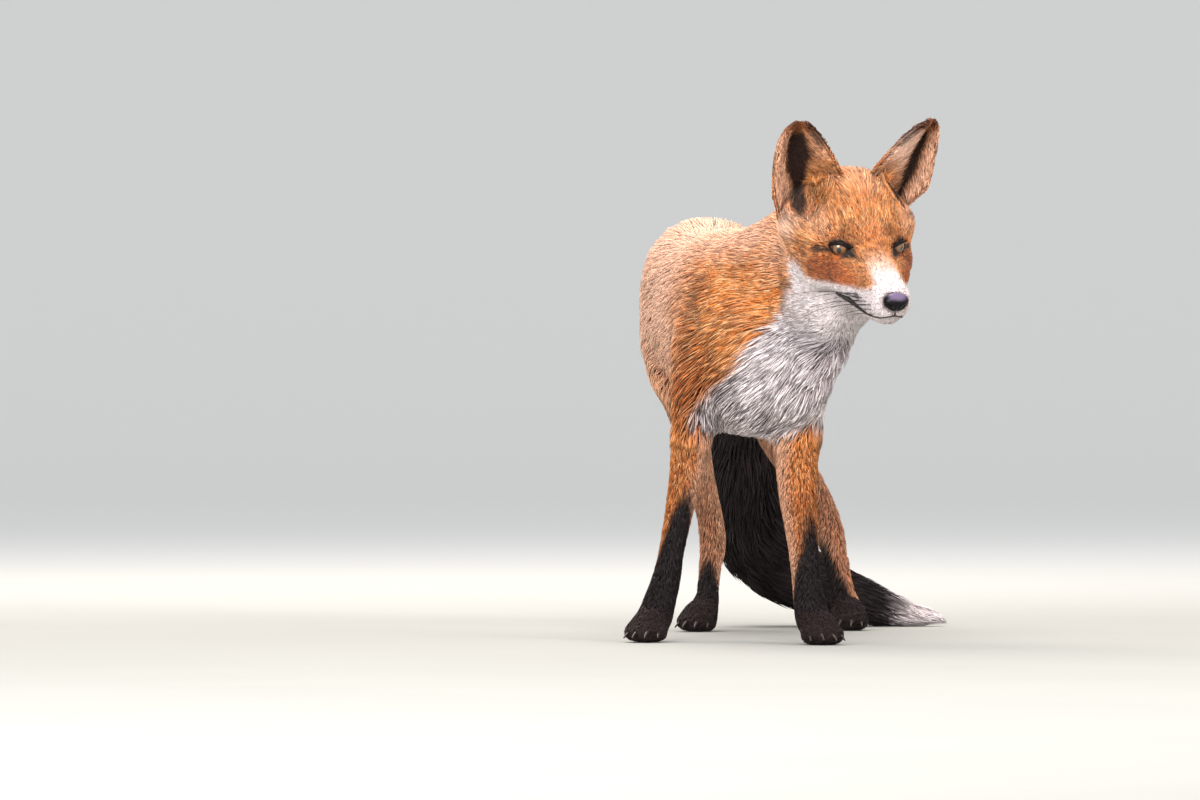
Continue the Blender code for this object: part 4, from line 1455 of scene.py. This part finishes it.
@dataclass(frozen=True)
class Eye:
    """An eyeball with a bulging cornea, between black lids. Sizes are on the straight head.

    Attributes:
        side: 1 for the fox's left, -1 for its right.
        middle: Middle of the ball on the fox's left.
        radius: Radius of the ball.
        outward: How far it looks away from straight ahead, in degrees.
        iris: Radius of the coloured ring.
        pupil: Half width and half height of the slit.
        cornea: How far the cornea bulges.
        outer: Length of the opening from its middle to the outer corner.
        inner: The same to the inner corner.
        upper: How far the upper lid stands above the middle, and how squarely it bows.
        lower: How far the lower lid stands below it, and how squarely it bows.
        segments: Cells of the ball around and from pole to pole.
    """

    side: int
    middle: Place = (26.0, 5.8, -0.3)
    radius: float = 9.3
    outward: float = 32.0
    iris: float = 7.3
    pupil: Pair = (1.8, 2.3)
    cornea: float = 0.9
    outer: float = 13.4
    inner: float = 12.2
    upper: Pair = (5.6, 1.9)
    lower: Pair = (5.5, 2.2)
    segments: tuple[int, int] = (64, 48)

    def axes(self) -> tuple[Array, Array, Array, Array]:
        """Middle, and the ways outward to the side, upward and ahead, on the straight head."""
        turn = math.radians(self.outward)
        middle = np.array(self.middle) * (self.side, 1, 1)
        ahead = np.array((math.sin(turn) * self.side, -math.cos(turn), -0.02))
        aside = np.array((math.cos(turn) * self.side, math.sin(turn), 0.0))
        return middle, aside, np.cross(aside, ahead) * -self.side, unit(ahead)

    def seen(self, head: Array) -> tuple[Array, Array, Array]:
        """Where places on the head stand before the eye: aside, above and from its middle."""
        middle, aside, above, ahead = self.axes()
        local = head - middle
        reach = np.linalg.norm(local, axis=1)
        across, up, out = local @ aside, local @ above, local @ ahead
        bend = np.arctan2(across, out) * self.radius
        rise = np.arcsin(np.clip(up / np.maximum(reach, TINY), -1, 1)) * self.radius
        return bend, rise, reach

    def edges(self, bend: Array) -> tuple[Array, Array]:
        """How far the upper and the lower lid stand from the middle line along the eye."""
        share = np.clip(np.abs(bend) / np.where(bend > 0, self.outer, self.inner), 0, 1)
        high, low = (tall * (1 - share ** power) for tall, power in (self.upper, self.lower))
        return high, -low

    def opening(self, head: Array, spare: float) -> Array:
        """Whether places on the head lie within the opening, grown by some spare."""
        bend, rise, reach = self.seen(head)
        width = np.where(bend > 0, self.outer, self.inner)
        high, low = self.edges(bend)
        near = reach < self.radius * 1.7
        return near & (np.abs(bend) < width + spare) & (rise < high + spare) & (rise > low - spare)

    def on_ball(self, bend: Array, rise: Array, reach: Array) -> Array:
        """Places before the eye back on the straight head."""
        middle, aside, above, ahead = self.axes()
        across, up = bend / self.radius, rise / self.radius
        way = (np.outer(np.sin(across) * np.cos(up), aside) + np.outer(np.sin(up), above)
               + np.outer(np.cos(across) * np.cos(up), ahead))
        return middle + way * reach[:, None]

    def ball(self, material: bpy.types.Material) -> bpy.types.Object:
        """Builds the eyeball and paints the places of iris and pupil on it."""
        middle, aside, above, ahead = self.axes()
        bm = bmesh.new()
        around, along = self.segments
        bmesh.ops.create_uvsphere(bm, u_segments=around, v_segments=along, radius=self.radius)
        places = places_of(bm)
        x, y, front = places[:, 0], places[:, 1], places[:, 2] > 0
        ring = np.hypot(x, y) / self.iris
        swell = np.where(front, self.cornea * (1 - np.clip(ring, 0, 1) ** 2), 0)
        slit = np.hypot(x / self.pupil[0], y / self.pupil[1])
        raised = places * (1 + swell / self.radius)[:, None]
        move(bm, from_head(middle + raised @ np.array((aside, above, ahead))))
        piece = finished(f"eyeball_{side_name(self.side)}", bm, material)
        # Behind the front both values lie outside the iris.
        paint(piece.data, "iris", np.where(front, ring, 2.0), np.where(front, slit, 4.0),
              np.arctan2(y, x) / math.tau + 0.5)
        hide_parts(f"eye_{side_name(self.side)}")
        return piece

    def lids(self, material: bpy.types.Material) -> bpy.types.Object:
        """Builds the black rim of the two lids, drawn out into the corners."""
        share = np.linspace(-1, 1, 15)
        bend = np.where(share > 0, share * self.outer, share * self.inner)

        def around(upper: Array, lower: Array) -> Array:
            """Values along the upper lid and back along the lower one."""
            return np.concatenate((upper, lower[-2:0:-1]))

        corner = np.abs(around(share, share)) ** 4
        reach = self.radius + 0.30 + 1.3 * corner
        path = from_head(self.on_ball(around(bend, bend), around(*self.edges(bend)), reach))
        top = around(np.ones(len(share)), np.zeros(len(share)))
        width = 0.7 + 0.6 * top - 0.15 * corner
        return tubes(f"lids_{side_name(self.side)}", [path], [width], material, closed=True)


@dataclass(frozen=True)
class Nose:
    """The nose: a wet leather boss with two commas for nostrils and a groove between them.

    Attributes:
        middle: Its middle on the straight head.
        radii: Its half extents.
        nostril: Middle of the left nostril on a ball one across.
        comma: The way in which the nostril is drawn out.
        hole: Radius of the nostril and its depth.
        groove: Half width and depth of the groove between the nostrils.
        wing: How far out the wings of the nostrils stand, their width and their height.
        segments: Cells around and from pole to pole.
    """

    middle: Place = (0.0, -69.0, -22.4)
    radii: Place = (12.0, 7.8, 8.3)
    nostril: Place = (0.50, -0.80, -0.28)
    comma: Place = (0.45, 0.3, 0.16)
    hole: Pair = (0.20, 3.4)
    groove: Pair = (0.06, 0.7)
    wing: Place = (0.5, 0.3, 0.6)
    segments: tuple[int, int] = (72, 48)

    def shape(self, ball: Array) -> Array:
        """Takes places on a ball one in radius to the nose, in millimetres on the head."""
        x, y, z = ball.T
        wide = 1 + 0.10 * z - 0.10 * ramp(z, -0.2, -1.0)
        off = mirrored(ball) - np.array(self.nostril)
        off -= np.outer(np.clip(off[:, 0] * 1.6, 0, 1), self.comma)
        pit = np.exp(-(np.linalg.norm(off, axis=1) / self.hole[0]) ** 2) * self.hole[1]
        cut = np.exp(-(x / self.groove[0]) ** 2) * self.groove[1] * ramp(z, 0.35, 0.0) * ramp(y, 0, -0.5)
        out, width, height = self.wing
        wing = np.exp(-((np.abs(x) - out) / width) ** 2) * height * ramp(y, 0, -0.6) * ramp(z, 0.35, -0.1)
        scaled = ball * np.array(self.radii)
        scaled[:, 0] *= wide
        return np.array(self.middle) + scaled + unit(ball) * (wing - pit - cut)[:, None]

    def build(self, material: bpy.types.Material) -> bpy.types.Object:
        """Builds the nose."""
        bm = bmesh.new()
        around, along = self.segments
        bmesh.ops.create_uvsphere(bm, u_segments=around, v_segments=along, radius=1)
        places = self.shape(places_of(bm))
        move(bm, from_head(places))
        piece = finished("nose_leather", bm, material)
        x, _, z = ((places - np.array(self.middle)) / np.array(self.radii)).T
        # Painted sheen: the cool reflection of the sky, laid as colour on the top of the nose.
        painted_sheen = ramp(z, 0.30, 0.90) * ramp(np.abs(x), 0.95, 0.45) * 0.9
        paint(piece.data, "painted_sheen", painted_sheen, painted_sheen, painted_sheen)
        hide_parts("nose")
        return piece


@dataclass(frozen=True)
class Mouth:
    """The closed mouth: black lips that show as a line, thickest near the corner.

    Attributes:
        line: Places along the lips on the fox's left, from the middle to the corner.
        thick: Radius of the lips at these places.
        philtrum: Places down the groove under the nose.
        groove: Radius of that groove's line.
    """

    line: tuple[Place, ...] = (
        (0.0, -74.0, -37.2), (6.0, -72.0, -38.0), (11.0, -66.0, -39.5), (15.5, -58.0, -42.0),
        (19.0, -48.0, -45.0), (22.5, -38.0, -46.2), (26.0, -27.0, -46.0), (29.5, -16.0, -45.0),
        (31.5, -9.0, -43.5),
    )
    thick: tuple[float, ...] = (0.7, 0.75, 0.85, 1.0, 1.3, 1.8, 2.4, 2.5, 1.3)
    philtrum: tuple[Place, ...] = ((0.0, -76.0, -28.0), (0.0, -75.5, -32.0), (0.0, -74.0, -37.0))
    groove: float = 0.6

    def build(self, outline: BVHTree, material: bpy.types.Material) -> bpy.types.Object:
        """Builds the lips on the outline of the head."""
        lines = (np.array(self.line), np.array(self.line) * (-1, 1, 1), np.array(self.philtrum))
        paths = [nearest(outline, from_head(head))[0] for head in lines]
        radii = (self.thick, self.thick, [self.groove] * len(self.philtrum))
        return tubes("lips", paths, radii, material, 2)


@dataclass(frozen=True)
class Whiskers:
    """Stiff black hairs that sweep back from the lip along the cheek.

    Attributes:
        rows: For each row, the height on the head and how many hairs it has.
        first: Where a row begins, out and ahead on the fox's left.
        step: The way from there to its next hair.
        length: Shortest and longest.
        radius: At the root and at the tip. The root is drawn thicker than the real hair's
            quarter of a millimetre across, so that it shows.
        way: The way in which a hair sets out.
        sag: Least and greatest fall of the tip, as a share of the length.
        bow: How far the tip bows inward and back, as shares of the length.
    """

    rows: tuple[tuple[float, int], ...] = ((-29.0, 4), (-32.5, 5), (-36.5, 4))
    first: Pair = (13.5, -58.0)
    step: Pair = (3.0, 7.5)
    length: Pair = (38.0, 84.0)
    radius: Pair = (0.34, 0.08)
    way: Place = (0.46, 0.84, -0.22)
    sag: Pair = (0.22, 0.42)
    bow: Pair = (-0.20, 0.16)

    def build(self, outline: BVHTree, rng: np.random.Generator,
              material: bpy.types.Material) -> bpy.types.Object:
        """Builds the whiskers of both sides."""
        paths = []
        steps = np.linspace(0, 1, 9)
        for side in (1, -1):
            for height, count in self.rows:
                for number in range(count):
                    root = np.array((*(np.array(self.first) + np.array(self.step) * number), height))
                    root = on_head(nearest(outline, from_head(root[None] * (side, 1, 1)))[0])[0]
                    long = np.interp(number / (count - 1), (0, 1), self.length) * rng.uniform(0.85, 1.15)
                    way = unit(np.array(self.way) + rng.normal(0, 0.07, 3))
                    bow = np.array((*self.bow, -rng.uniform(*self.sag)))
                    path = root * (side, 1, 1) + (np.outer(steps, way) + np.outer(steps ** 2, bow)) * long
                    paths.append(from_head(path * (side, 1, 1)))
        radii = [np.interp(steps, (0, 1), self.radius)] * len(paths)
        return tubes("whiskers", paths, radii, material, 1)


@dataclass(frozen=True)
class Claw:
    """One claw: a curved, blunt horn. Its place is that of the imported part's claw.

    Attributes:
        node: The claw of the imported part.
        heading: The way it points on the ground, in degrees from straight ahead.
        length: From the toe to the tip.
        girth: Radius at the toe and at the tip.
        span: Where the horn starts and ends about its middle, as shares of the length.
        fall: How steeply it points down.
        lift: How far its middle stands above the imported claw's.
        bend: How far it curves down towards the tip.
        lowest: Least height of its middle line above the ground.
    """

    node: str
    heading: float
    length: float
    girth: Pair = (2.2, 0.55)
    span: Pair = (-0.75, 0.5)
    fall: float = -0.25
    lift: float = 0.9
    bend: float = 5.0
    lowest: float = 1.2

    def build(self, material: bpy.types.Material) -> bpy.types.Object:
        """Builds the claw."""
        low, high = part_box(self.node)
        turn = math.radians(self.heading)
        ahead = (math.sin(turn), -math.cos(turn), self.fall)
        steps = np.linspace(*self.span, 8)
        path = np.array((low + high) / 2) + np.outer(steps * self.length * MM, ahead)
        path[:, 2] += (self.lift - self.bend * steps ** 2 * (steps > 0)) * MM
        path[:, 2] = np.maximum(path[:, 2], self.lowest * MM)
        widths = np.interp(steps, self.span, self.girth)
        piece = tubes(self.node.replace("claw", "claw_horn"), [path], [widths], material)
        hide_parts(self.node)
        return piece


@dataclass(frozen=True)
class Ear:
    """An upright ear: a cupped leaf of gristle, whose two edges bow up to a rounded tip.

    Attributes:
        side: 1 for the fox's left, -1 for its right.
        inner: Three places that bend the edge next to the crown, on the fox's left.
        outer: The same for the outer edge.
        back: The way in which the cup bulges.
        cup: Depth of the cup as a share of its width.
        wall: Thickness of the leaf without its fur.
        reach: Where along the edges the leaf starts, below the skin, and ends.
        dark: Where across the cup its bare dark middle starts and ends.
        bright: How pale the hair next to the crown is, from zero to one. It is partly the hair's own pale
            colour and partly painted light, as on an ear that light shines through.
        grid: How many cells it has across and along.
        probe: Length of the step that finds the ways across and along.
    """

    side: int
    inner: tuple[Place, Place, Place] = ((19, 50, 58), (40, 46, 94), (64.5, 45, 106))
    outer: tuple[Place, Place, Place] = ((72, 52, 4), (88, 66, 92), (64.5, 45, 106))
    back: Place = (0.1169, 0.9739, -0.1948)
    cup: float = 0.36
    wall: float = 1.8
    reach: Pair = (-0.22, 0.91)
    dark: Pair = (0.26, 0.62)
    bright: float = 0.3
    grid: tuple[int, int] = (26, 40)
    probe: float = 0.01

    def place(self, across: Array, along: Array) -> Array:
        """Places on the leaf, from edge to edge and from root to tip, in the row's frame."""
        share = along[:, None]

        def bend(points: tuple[Place, Place, Place]) -> Array:
            """Places along the bow of an edge."""
            start, middle, end = (np.array(point, float) for point in points)
            return start * (1 - share) ** 2 + middle * 2 * share * (1 - share) + end * share ** 2

        inner = bend(self.inner)
        chord = bend(self.outer) - inner
        bulge = np.sin(np.pi * np.clip(across, 0.001, 0.999)) ** 0.8
        depth = self.cup * np.linalg.norm(chord, axis=1) * bulge
        head = inner + chord * across[:, None] + np.outer(depth, self.back)
        return from_head(head * (self.side, 1, 1))

    def leaf(self) -> bpy.types.Mesh:
        """The leaf with its thickness, and where each point stands on it."""
        bm = bmesh.new()
        bmesh.ops.create_grid(bm, x_segments=self.grid[0], y_segments=self.grid[1], size=0.5)
        across, up = places_of(bm)[:, :2].T + 0.5
        start = self.reach[0] * (1 - 0.65 * across)
        along = start + (self.reach[1] - start) * up
        across *= 1 - 0.18 * ramp(along, 0.2, -0.05)
        move(bm, self.place(across, along))
        mesh = mesh_of("leaf", bm)
        paint(mesh, "stand", across, along)
        thing = link("leaf", mesh)
        thick = thing.modifiers.new("wall", "SOLIDIFY")
        thick.thickness = self.wall * MM
        thick.offset = 0.0
        bake_modifiers(thing)
        leaf = thing.data
        bpy.data.objects.remove(thing)
        turned = bmesh.new()
        turned.from_mesh(leaf)
        bmesh.ops.recalc_face_normals(turned, faces=turned.faces)
        turned.to_mesh(leaf)
        turned.free()
        return leaf

    def hide(self, leaf: bpy.types.Mesh) -> Hide:
        """The leaf as a surface that fur grows from.

        Across the front run three bands: medial, next to the crown, the bare dark middle, and
        lateral, next to the outer edge.
        """
        surface = Surface(leaf)
        across, along = Surface.read(leaf.attributes["stand"].data, "color", 4, float)[:, :2].T
        step = self.probe
        up = unit(self.place(across, along + step) - self.place(across, along - step))
        out = unit(self.place(across + step, along) - self.place(across - step, along))
        normals = surface.normals()
        rear = HEAD_TURN @ (np.array(self.back) * (self.side, 1, 1))
        behind = ramp(normals @ rear, -0.15, 0.15)
        front = 1 - behind
        edge = ramp(np.minimum(across, 1 - across), 0.08, 0.02)
        low, high = self.dark
        turn = np.interp(across, (0, low - 0.05, high, 1.0), (0.7, 1.1, -0.9, 0.15))
        lie = up + out * ((across - 0.5) * 0.5 * behind + turn * front)[:, None]
        # The dark middle narrows towards the ear's root and fades below its tip.
        centre = (low + high) / 2
        half = (high - low) / 2 * (1 - ramp(along, 0.25, 0.0) * 0.5)
        medial = ramp(across, centre - half + 0.04, centre - half - 0.10) * front
        lateral = ramp(across, centre + half - 0.04, centre + half + 0.10) * front
        bare = front * (1 - medial) * (1 - lateral)
        tipped = ramp(along, 0.72, 0.88)
        dark = bare * ramp(along, 0.80, 0.58)
        rim = edge * np.where(across < 0.5, ramp(along, 0.3, 0.5), ramp(along, 0.7, 0.85))
        black = np.maximum.reduce((
            dark * 0.97, rim * 0.75, behind * ramp(along, 0.16, 0.36), front * tipped * 0.45,
            medial * ramp(along, 0.28, 0.05) * 0.3))
        low_down = front * ramp(along, 0.85, 0.6)
        # Near the crown the white and pale are partly painted light, as strong as the ear's setting for it.
        white = low_down * 0.12 * self.bright * medial
        pale = low_down * np.maximum(0.65 * lateral, self.bright * medial * ramp(along, 0.05, 0.3))
        russet = front * ramp(along, 0.5, 0.85) * 0.6 * (1 - 0.5 * ramp(along, 0.22, 0.0))
        marks, shaded = (np.column_stack((white, dark_share, pale, russet))
                         for dark_share in (black, np.maximum(black, bare * 0.8)))
        length = 7.0 + medial * 8 * ramp(along, 0.95, 0.5) + lateral * 6 - bare * 2.5
        return Hide(
            surface=surface, normals=normals, flow=unit(flattened(lie, normals)),
            depth=(1.3 + 3.2 * medial + 2.2 * lateral - 0.5 * bare) * MM,
            length=length * (1 - 0.35 * tipped) * (1 - 0.3 * edge) * MM,
            width=(0.95 + 0.25 * medial) * MM,
            density=1 + edge + 0.7 * (medial + lateral) - 0.3 * dark, marks=marks, bare=shaded,
            loose=0.7 * (medial + lateral) * ramp(along, 0.95, 0.7) + 0.2 * behind)


EYES = (Eye(1), Eye(-1))


# ---------------------------------------------------------------- the whole animal


@dataclass(frozen=True)
class Fox:
    """The animal: skin, coat, and the bare parts of head and paws.

    Attributes:
        toes: For each claw of a paw, its turn from the paw's heading in degrees and its length.
        eye_reach: How far about an eye the skin is moved, as a share of the ball's radius.
        eye_spare: How far beyond the lids the skin opens for the ball.
        eye_behind: How far the skin lies below the ball's surface within the opening.
        eye_over: How far it stands over the ball around the opening.
        eye_clear: How far beyond the lids no coat grows.
        nose_clear: The same about the nose, as a share of its size.
        divide: The x at which the coat of the trunk is divided.
    """

    toes: tuple[Pair, ...] = ((-12.0, 10.0), (-3.0, 11.0), (3.0, 11.0), (12.0, 10.0))
    eye_reach: float = 1.5
    eye_spare: float = 0.4
    eye_behind: float = 0.8
    eye_over: float = 0.5
    eye_clear: float = 0.9
    nose_clear: float = 1.12
    divide: float = -40.0

    def build(self, rng: np.random.Generator) -> None:
        """Builds and dresses all pieces."""
        body = Body()
        fur = FurFinish().material()
        hide = body.hide()
        self.open_eyes(hide)
        ears = (
            # The left ear's hair next to the crown is painted full pale, partly as painted light shining
            # through it.
            Ear(1, dark=(0.54, 0.80), bright=1.0),
            Ear(-1, inner=((19, 50, 58), (43, 46, 93), (64.5, 45, 106)), dark=(0.18, 0.60)),
        )
        leaves = [ear.leaf() for ear in ears]
        hides = [ear.hide(leaf) for ear, leaf in zip(ears, leaves)]
        self.skin((hide, *hides))
        self.body_coat(hide, body.names, fur, rng)
        for ear, grown in zip(ears, hides):
            everywhere = np.arange(len(grown.surface.faces))
            coat = Coat(f"coat_ear_{side_name(ear.side)}", 10000, SHORT, 3.0, 0.3, 14.0, 0.10, 2.0)
            coat.grow(grown, grown.surface.tree(), everywhere, rng, fur)
        outline = body.outline.tree()
        wet, lid = EyeFinish().material(), LID_SKIN.material()
        for eye in EYES:
            eye.ball(wet)
            eye.lids(lid)
        Nose().build(NOSE_LEATHER.material())
        Mouth().build(outline, LIP_SKIN.material())
        Whiskers().build(outline, rng, WHISKER_HAIR.material())
        horn = CLAW_HORN.material()
        for paw, heading in HEADINGS.items():
            for number, (spread, length) in enumerate(self.toes, start=1):
                node = f"claw_{paw.replace('paw', '')}_{number}"
                Claw(node, heading + spread, length).build(horn)

    def open_eyes(self, hide: Hide) -> None:
        """Sinks the skin behind the eyeballs in the openings and lifts it over them around."""
        for eye in EYES:
            head = on_head(hide.surface.points)
            bend, rise, reach = eye.seen(head)
            near = self.eye_reach * eye.radius
            front = (np.abs(bend) < near) & (reach < near)
            wanted = np.where(eye.opening(head, self.eye_spare),
                              np.minimum(reach, eye.radius - self.eye_behind),
                              np.maximum(reach, eye.radius + self.eye_over))
            hide.surface.points[front] = from_head(eye.on_ball(bend, rise, wanted))[front]

    def skin(self, hides: Sequence[Hide]) -> bpy.types.Object:
        """Makes one skin of the body and the ears, painted with its markings."""
        starts = np.cumsum([0, *(len(hide.surface.points) for hide in hides)])
        points = np.concatenate([hide.surface.points for hide in hides])
        faces = [hide.surface.faces + start for hide, start in zip(hides, starts)]
        mesh = array_mesh("skin", points, np.concatenate(faces))
        paint(mesh, "marks", np.concatenate([hide.bare for hide in hides]))
        paint(mesh, "strand", np.tile(UNDERFUR_STRAND, (len(points), 1)))
        piece = ridden("skin", mesh, FurFinish("underfur", fibre=1.4).material())
        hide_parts(*FLESH, *EARS)
        return piece

    def body_coat(self, hide: Hide, nodes: Array, fur: bpy.types.Material,
                  rng: np.random.Generator) -> None:
        """Grows the coat of the body in pieces.

        Args:
            hide: The skin of the body.
            nodes: The node of flesh that each point of it belongs to.
            fur: Finish of the coat.
            rng: Source of the random draws.
        """
        tree = hide.surface.tree()
        names = nodes[hide.surface.faces[:, 0]]
        middle = hide.surface.points[hide.surface.faces].mean(axis=1)
        head = on_head(middle)
        nose = Nose()
        bare = within(head, nose.middle, np.array(nose.radii) * self.nose_clear, 0.01) > 0.5
        for eye in EYES:
            bare |= eye.opening(head, self.eye_clear)
        part = {name: np.char.startswith(names, name) for name in ("neck", "trunk", "fore", "hind", "tail")}
        face = np.isin(names, ON_HEAD) & ~bare
        left = head[:, 0] > 0
        east = middle[:, 0] > self.divide * MM
        pieces = (
            (Coat("coat_face_left", 24000, SHORT, 4.0, 0.45, 10.0, 0.20, 2.2), face & left),
            (Coat("coat_face_right", 24000, SHORT, 4.0, 0.45, 10.0, 0.20, 2.2), face & ~left),
            (Coat("coat_neck_left", 15000, LONG, 10.0, 0.42), part["neck"] & left),
            (Coat("coat_neck_right", 15000, LONG, 10.0, 0.42), part["neck"] & ~left),
            (Coat("coat_trunk_left", 14500, LONG, 9.0, 0.42), part["trunk"] & east),
            (Coat("coat_trunk_right", 14500, LONG, 9.0, 0.42), part["trunk"] & ~east),
            (Coat("coat_forelegs", 19000, SHORT, 5.0, 0.35), part["fore"]),
            (Coat("coat_hindlegs", 19000, SHORT, 6.0, 0.35), part["hind"]),
            (Coat("coat_tail", 14000, LONG, 14.0, 0.6), part["tail"]),
        )
        for coat, where in pieces:
            coat.grow(hide, tree, np.flatnonzero(where), rng, fur)


# ---------------------------------------------------------------- studio


@dataclass(frozen=True)
class Panel:
    """A soft light panel that looks at the animal's heart. Sizes are in metres.

    Attributes:
        name: Its name.
        place: Where it hangs.
        size: Its width and height.
        power: Its power in watts.
        colour: Its colour.
    """

    name: str
    place: Place
    size: Pair
    power: float
    colour: str

    def hang(self, aim: Place) -> bpy.types.Object:
        """Hangs the panel, turned towards a place."""
        light = bpy.data.lights.new(self.name, "AREA")
        light.shape = "RECTANGLE"
        light.size, light.size_y = self.size
        light.energy = self.power
        light.color = linear(self.colour)[:3]
        lamp = link(self.name, light)
        lamp.location = self.place
        lamp.rotation_euler = (Vector(aim) - Vector(self.place)).to_track_quat("-Z", "Y").to_euler()
        return lamp


PANELS = (
    Panel("sky_panel", (-0.6, 1.1, 2.6), (2.2, 2.2), 110, "FFF6EC"),
    Panel("side_panel", (2.1, -1.9, 1.35), (1.4, 1.4), 58, "FFF6EE"),
    Panel("front_panel", (-1.8, -3.4, 1.05), (2.2, 1.3), 115, "FFFBF6"),
    Panel("upper_panel", (-0.2, -2.8, 2.4), (1.8, 1.2), 80, "FBFBFF"),
)


@dataclass(frozen=True)
class Studio:
    """A pale round floor that bows up far away on all sides, soft light and the camera.

    Attributes:
        near: Colour of the paper where the lamps stand close over it: painted shade, darker than far away,
            that holds back their light.
        cloud: Colour of its faint clouds.
        far: Its colour far away.
        sky: Colour of the light from all around.
        glow: Strength of that light.
        deeper: Middle of the near part with its painted shade, in metres, as are the sizes below.
        fade: Bounds of the change from near to far, as distances from there.
        flat: Radius of the flat part of the floor.
        bow: Radius of the bow around it.
        steps: Cells along the bow and around.
        heart: Where the lamps look.
        camera: Where the camera stands.
        lens: Its focal length in millimetres, and the width of its sensor.
        shift: How far its picture is moved up, as a share of its width.
    """

    near: str = "969692"
    cloud: str = "9E9E9A"
    far: str = "F2F2F0"
    sky: str = "ECEEF0"
    glow: float = 0.8
    deeper: Place = (-0.2, -3.8, 0.0)
    fade: Pair = (3.6, 8.5)
    flat: float = 11.0
    bow: float = 5.0
    steps: tuple[int, int] = (12, 64)
    heart: Place = (-0.02, 0.0, 0.24)
    camera: Place = (-0.18137, -7.01476, 0.218)
    lens: Pair = (223.35, 36.0)
    shift: float = 4 / 1200

    def paper(self) -> bpy.types.Material:
        """Matt studio paper: pale, with faint clouds, and painted shade that makes it darker under the
        lamps.
        """
        finish = Finish("studio_paper", {"Roughness": 0.85})
        spot = finish.place()
        # Painted shade: the paper is darker about the place where the lamps light it most.
        away = finish.add("VectorMath", {"operation": "DISTANCE"}, {0: spot, 1: self.deeper})
        share = finish.scaled(away.outputs["Value"], self.fade, soft=True)
        clouds = finish.noise(spot, 3.0, 3.0)
        return finish.done(finish.layered(
            linear(self.near), (clouds, linear(self.cloud)), (share, linear(self.far))))

    def ground(self) -> bpy.types.Object:
        """Builds the floor."""
        bm = bmesh.new()
        up, around = self.steps
        turns = [math.pi / 2 * step / up for step in range(1, up + 1)]
        profile = [(0.0, 0.0), (self.flat / 2, 0.0), (self.flat, 0.0)]
        profile += [(self.flat + self.bow * math.sin(turn), self.bow * (1 - math.cos(turn)))
                    for turn in turns]
        verts = [bm.verts.new((x, 0, z)) for x, z in profile]
        edges = [bm.edges.new(pair) for pair in zip(verts, verts[1:])]
        bmesh.ops.spin(bm, geom=verts + edges, cent=(0, 0, 0), axis=(0, 0, 1), dvec=(0, 0, 0),
                       angle=math.tau, steps=around, use_merge=True)
        bmesh.ops.remove_doubles(bm, verts=bm.verts, dist=1e-4)
        bmesh.ops.recalc_face_normals(bm, faces=bm.faces)
        if min(bm.faces, key=lambda face: face.calc_center_median().length).normal.z < 0:
            bmesh.ops.reverse_faces(bm, faces=bm.faces)
        mesh = mesh_of("pale_floor", bm)
        mesh.shade_smooth()
        mesh.materials.append(self.paper())
        floor = link("pale_floor", mesh)
        return floor

    def build(self) -> None:
        """Sets up floor, lights, sky and camera."""
        self.ground()
        for panel in PANELS:
            panel.hang(self.heart)
        scene = bpy.context.scene
        scene.world = bpy.data.worlds.new("sky")
        scene.world.use_nodes = True
        backdrop = scene.world.node_tree.nodes["Background"]
        backdrop.inputs["Color"].default_value = linear(self.sky)
        backdrop.inputs["Strength"].default_value = self.glow
        scene.view_settings.view_transform = "Standard"
        camera = bpy.data.cameras.new("camera")
        camera.lens, camera.sensor_width = self.lens
        camera.shift_y = self.shift
        scene.camera = link("camera", camera)
        scene.camera.location = self.camera
        scene.camera.rotation_euler = (math.radians(90), 0, 0)


def main() -> None:
    """Builds the animal and the studio."""
    logging.basicConfig(level=logging.INFO, format="%(message)s")
    Fox().build(np.random.default_rng(SEED))
    Studio().build()


if __name__ == "__main__":
    main()
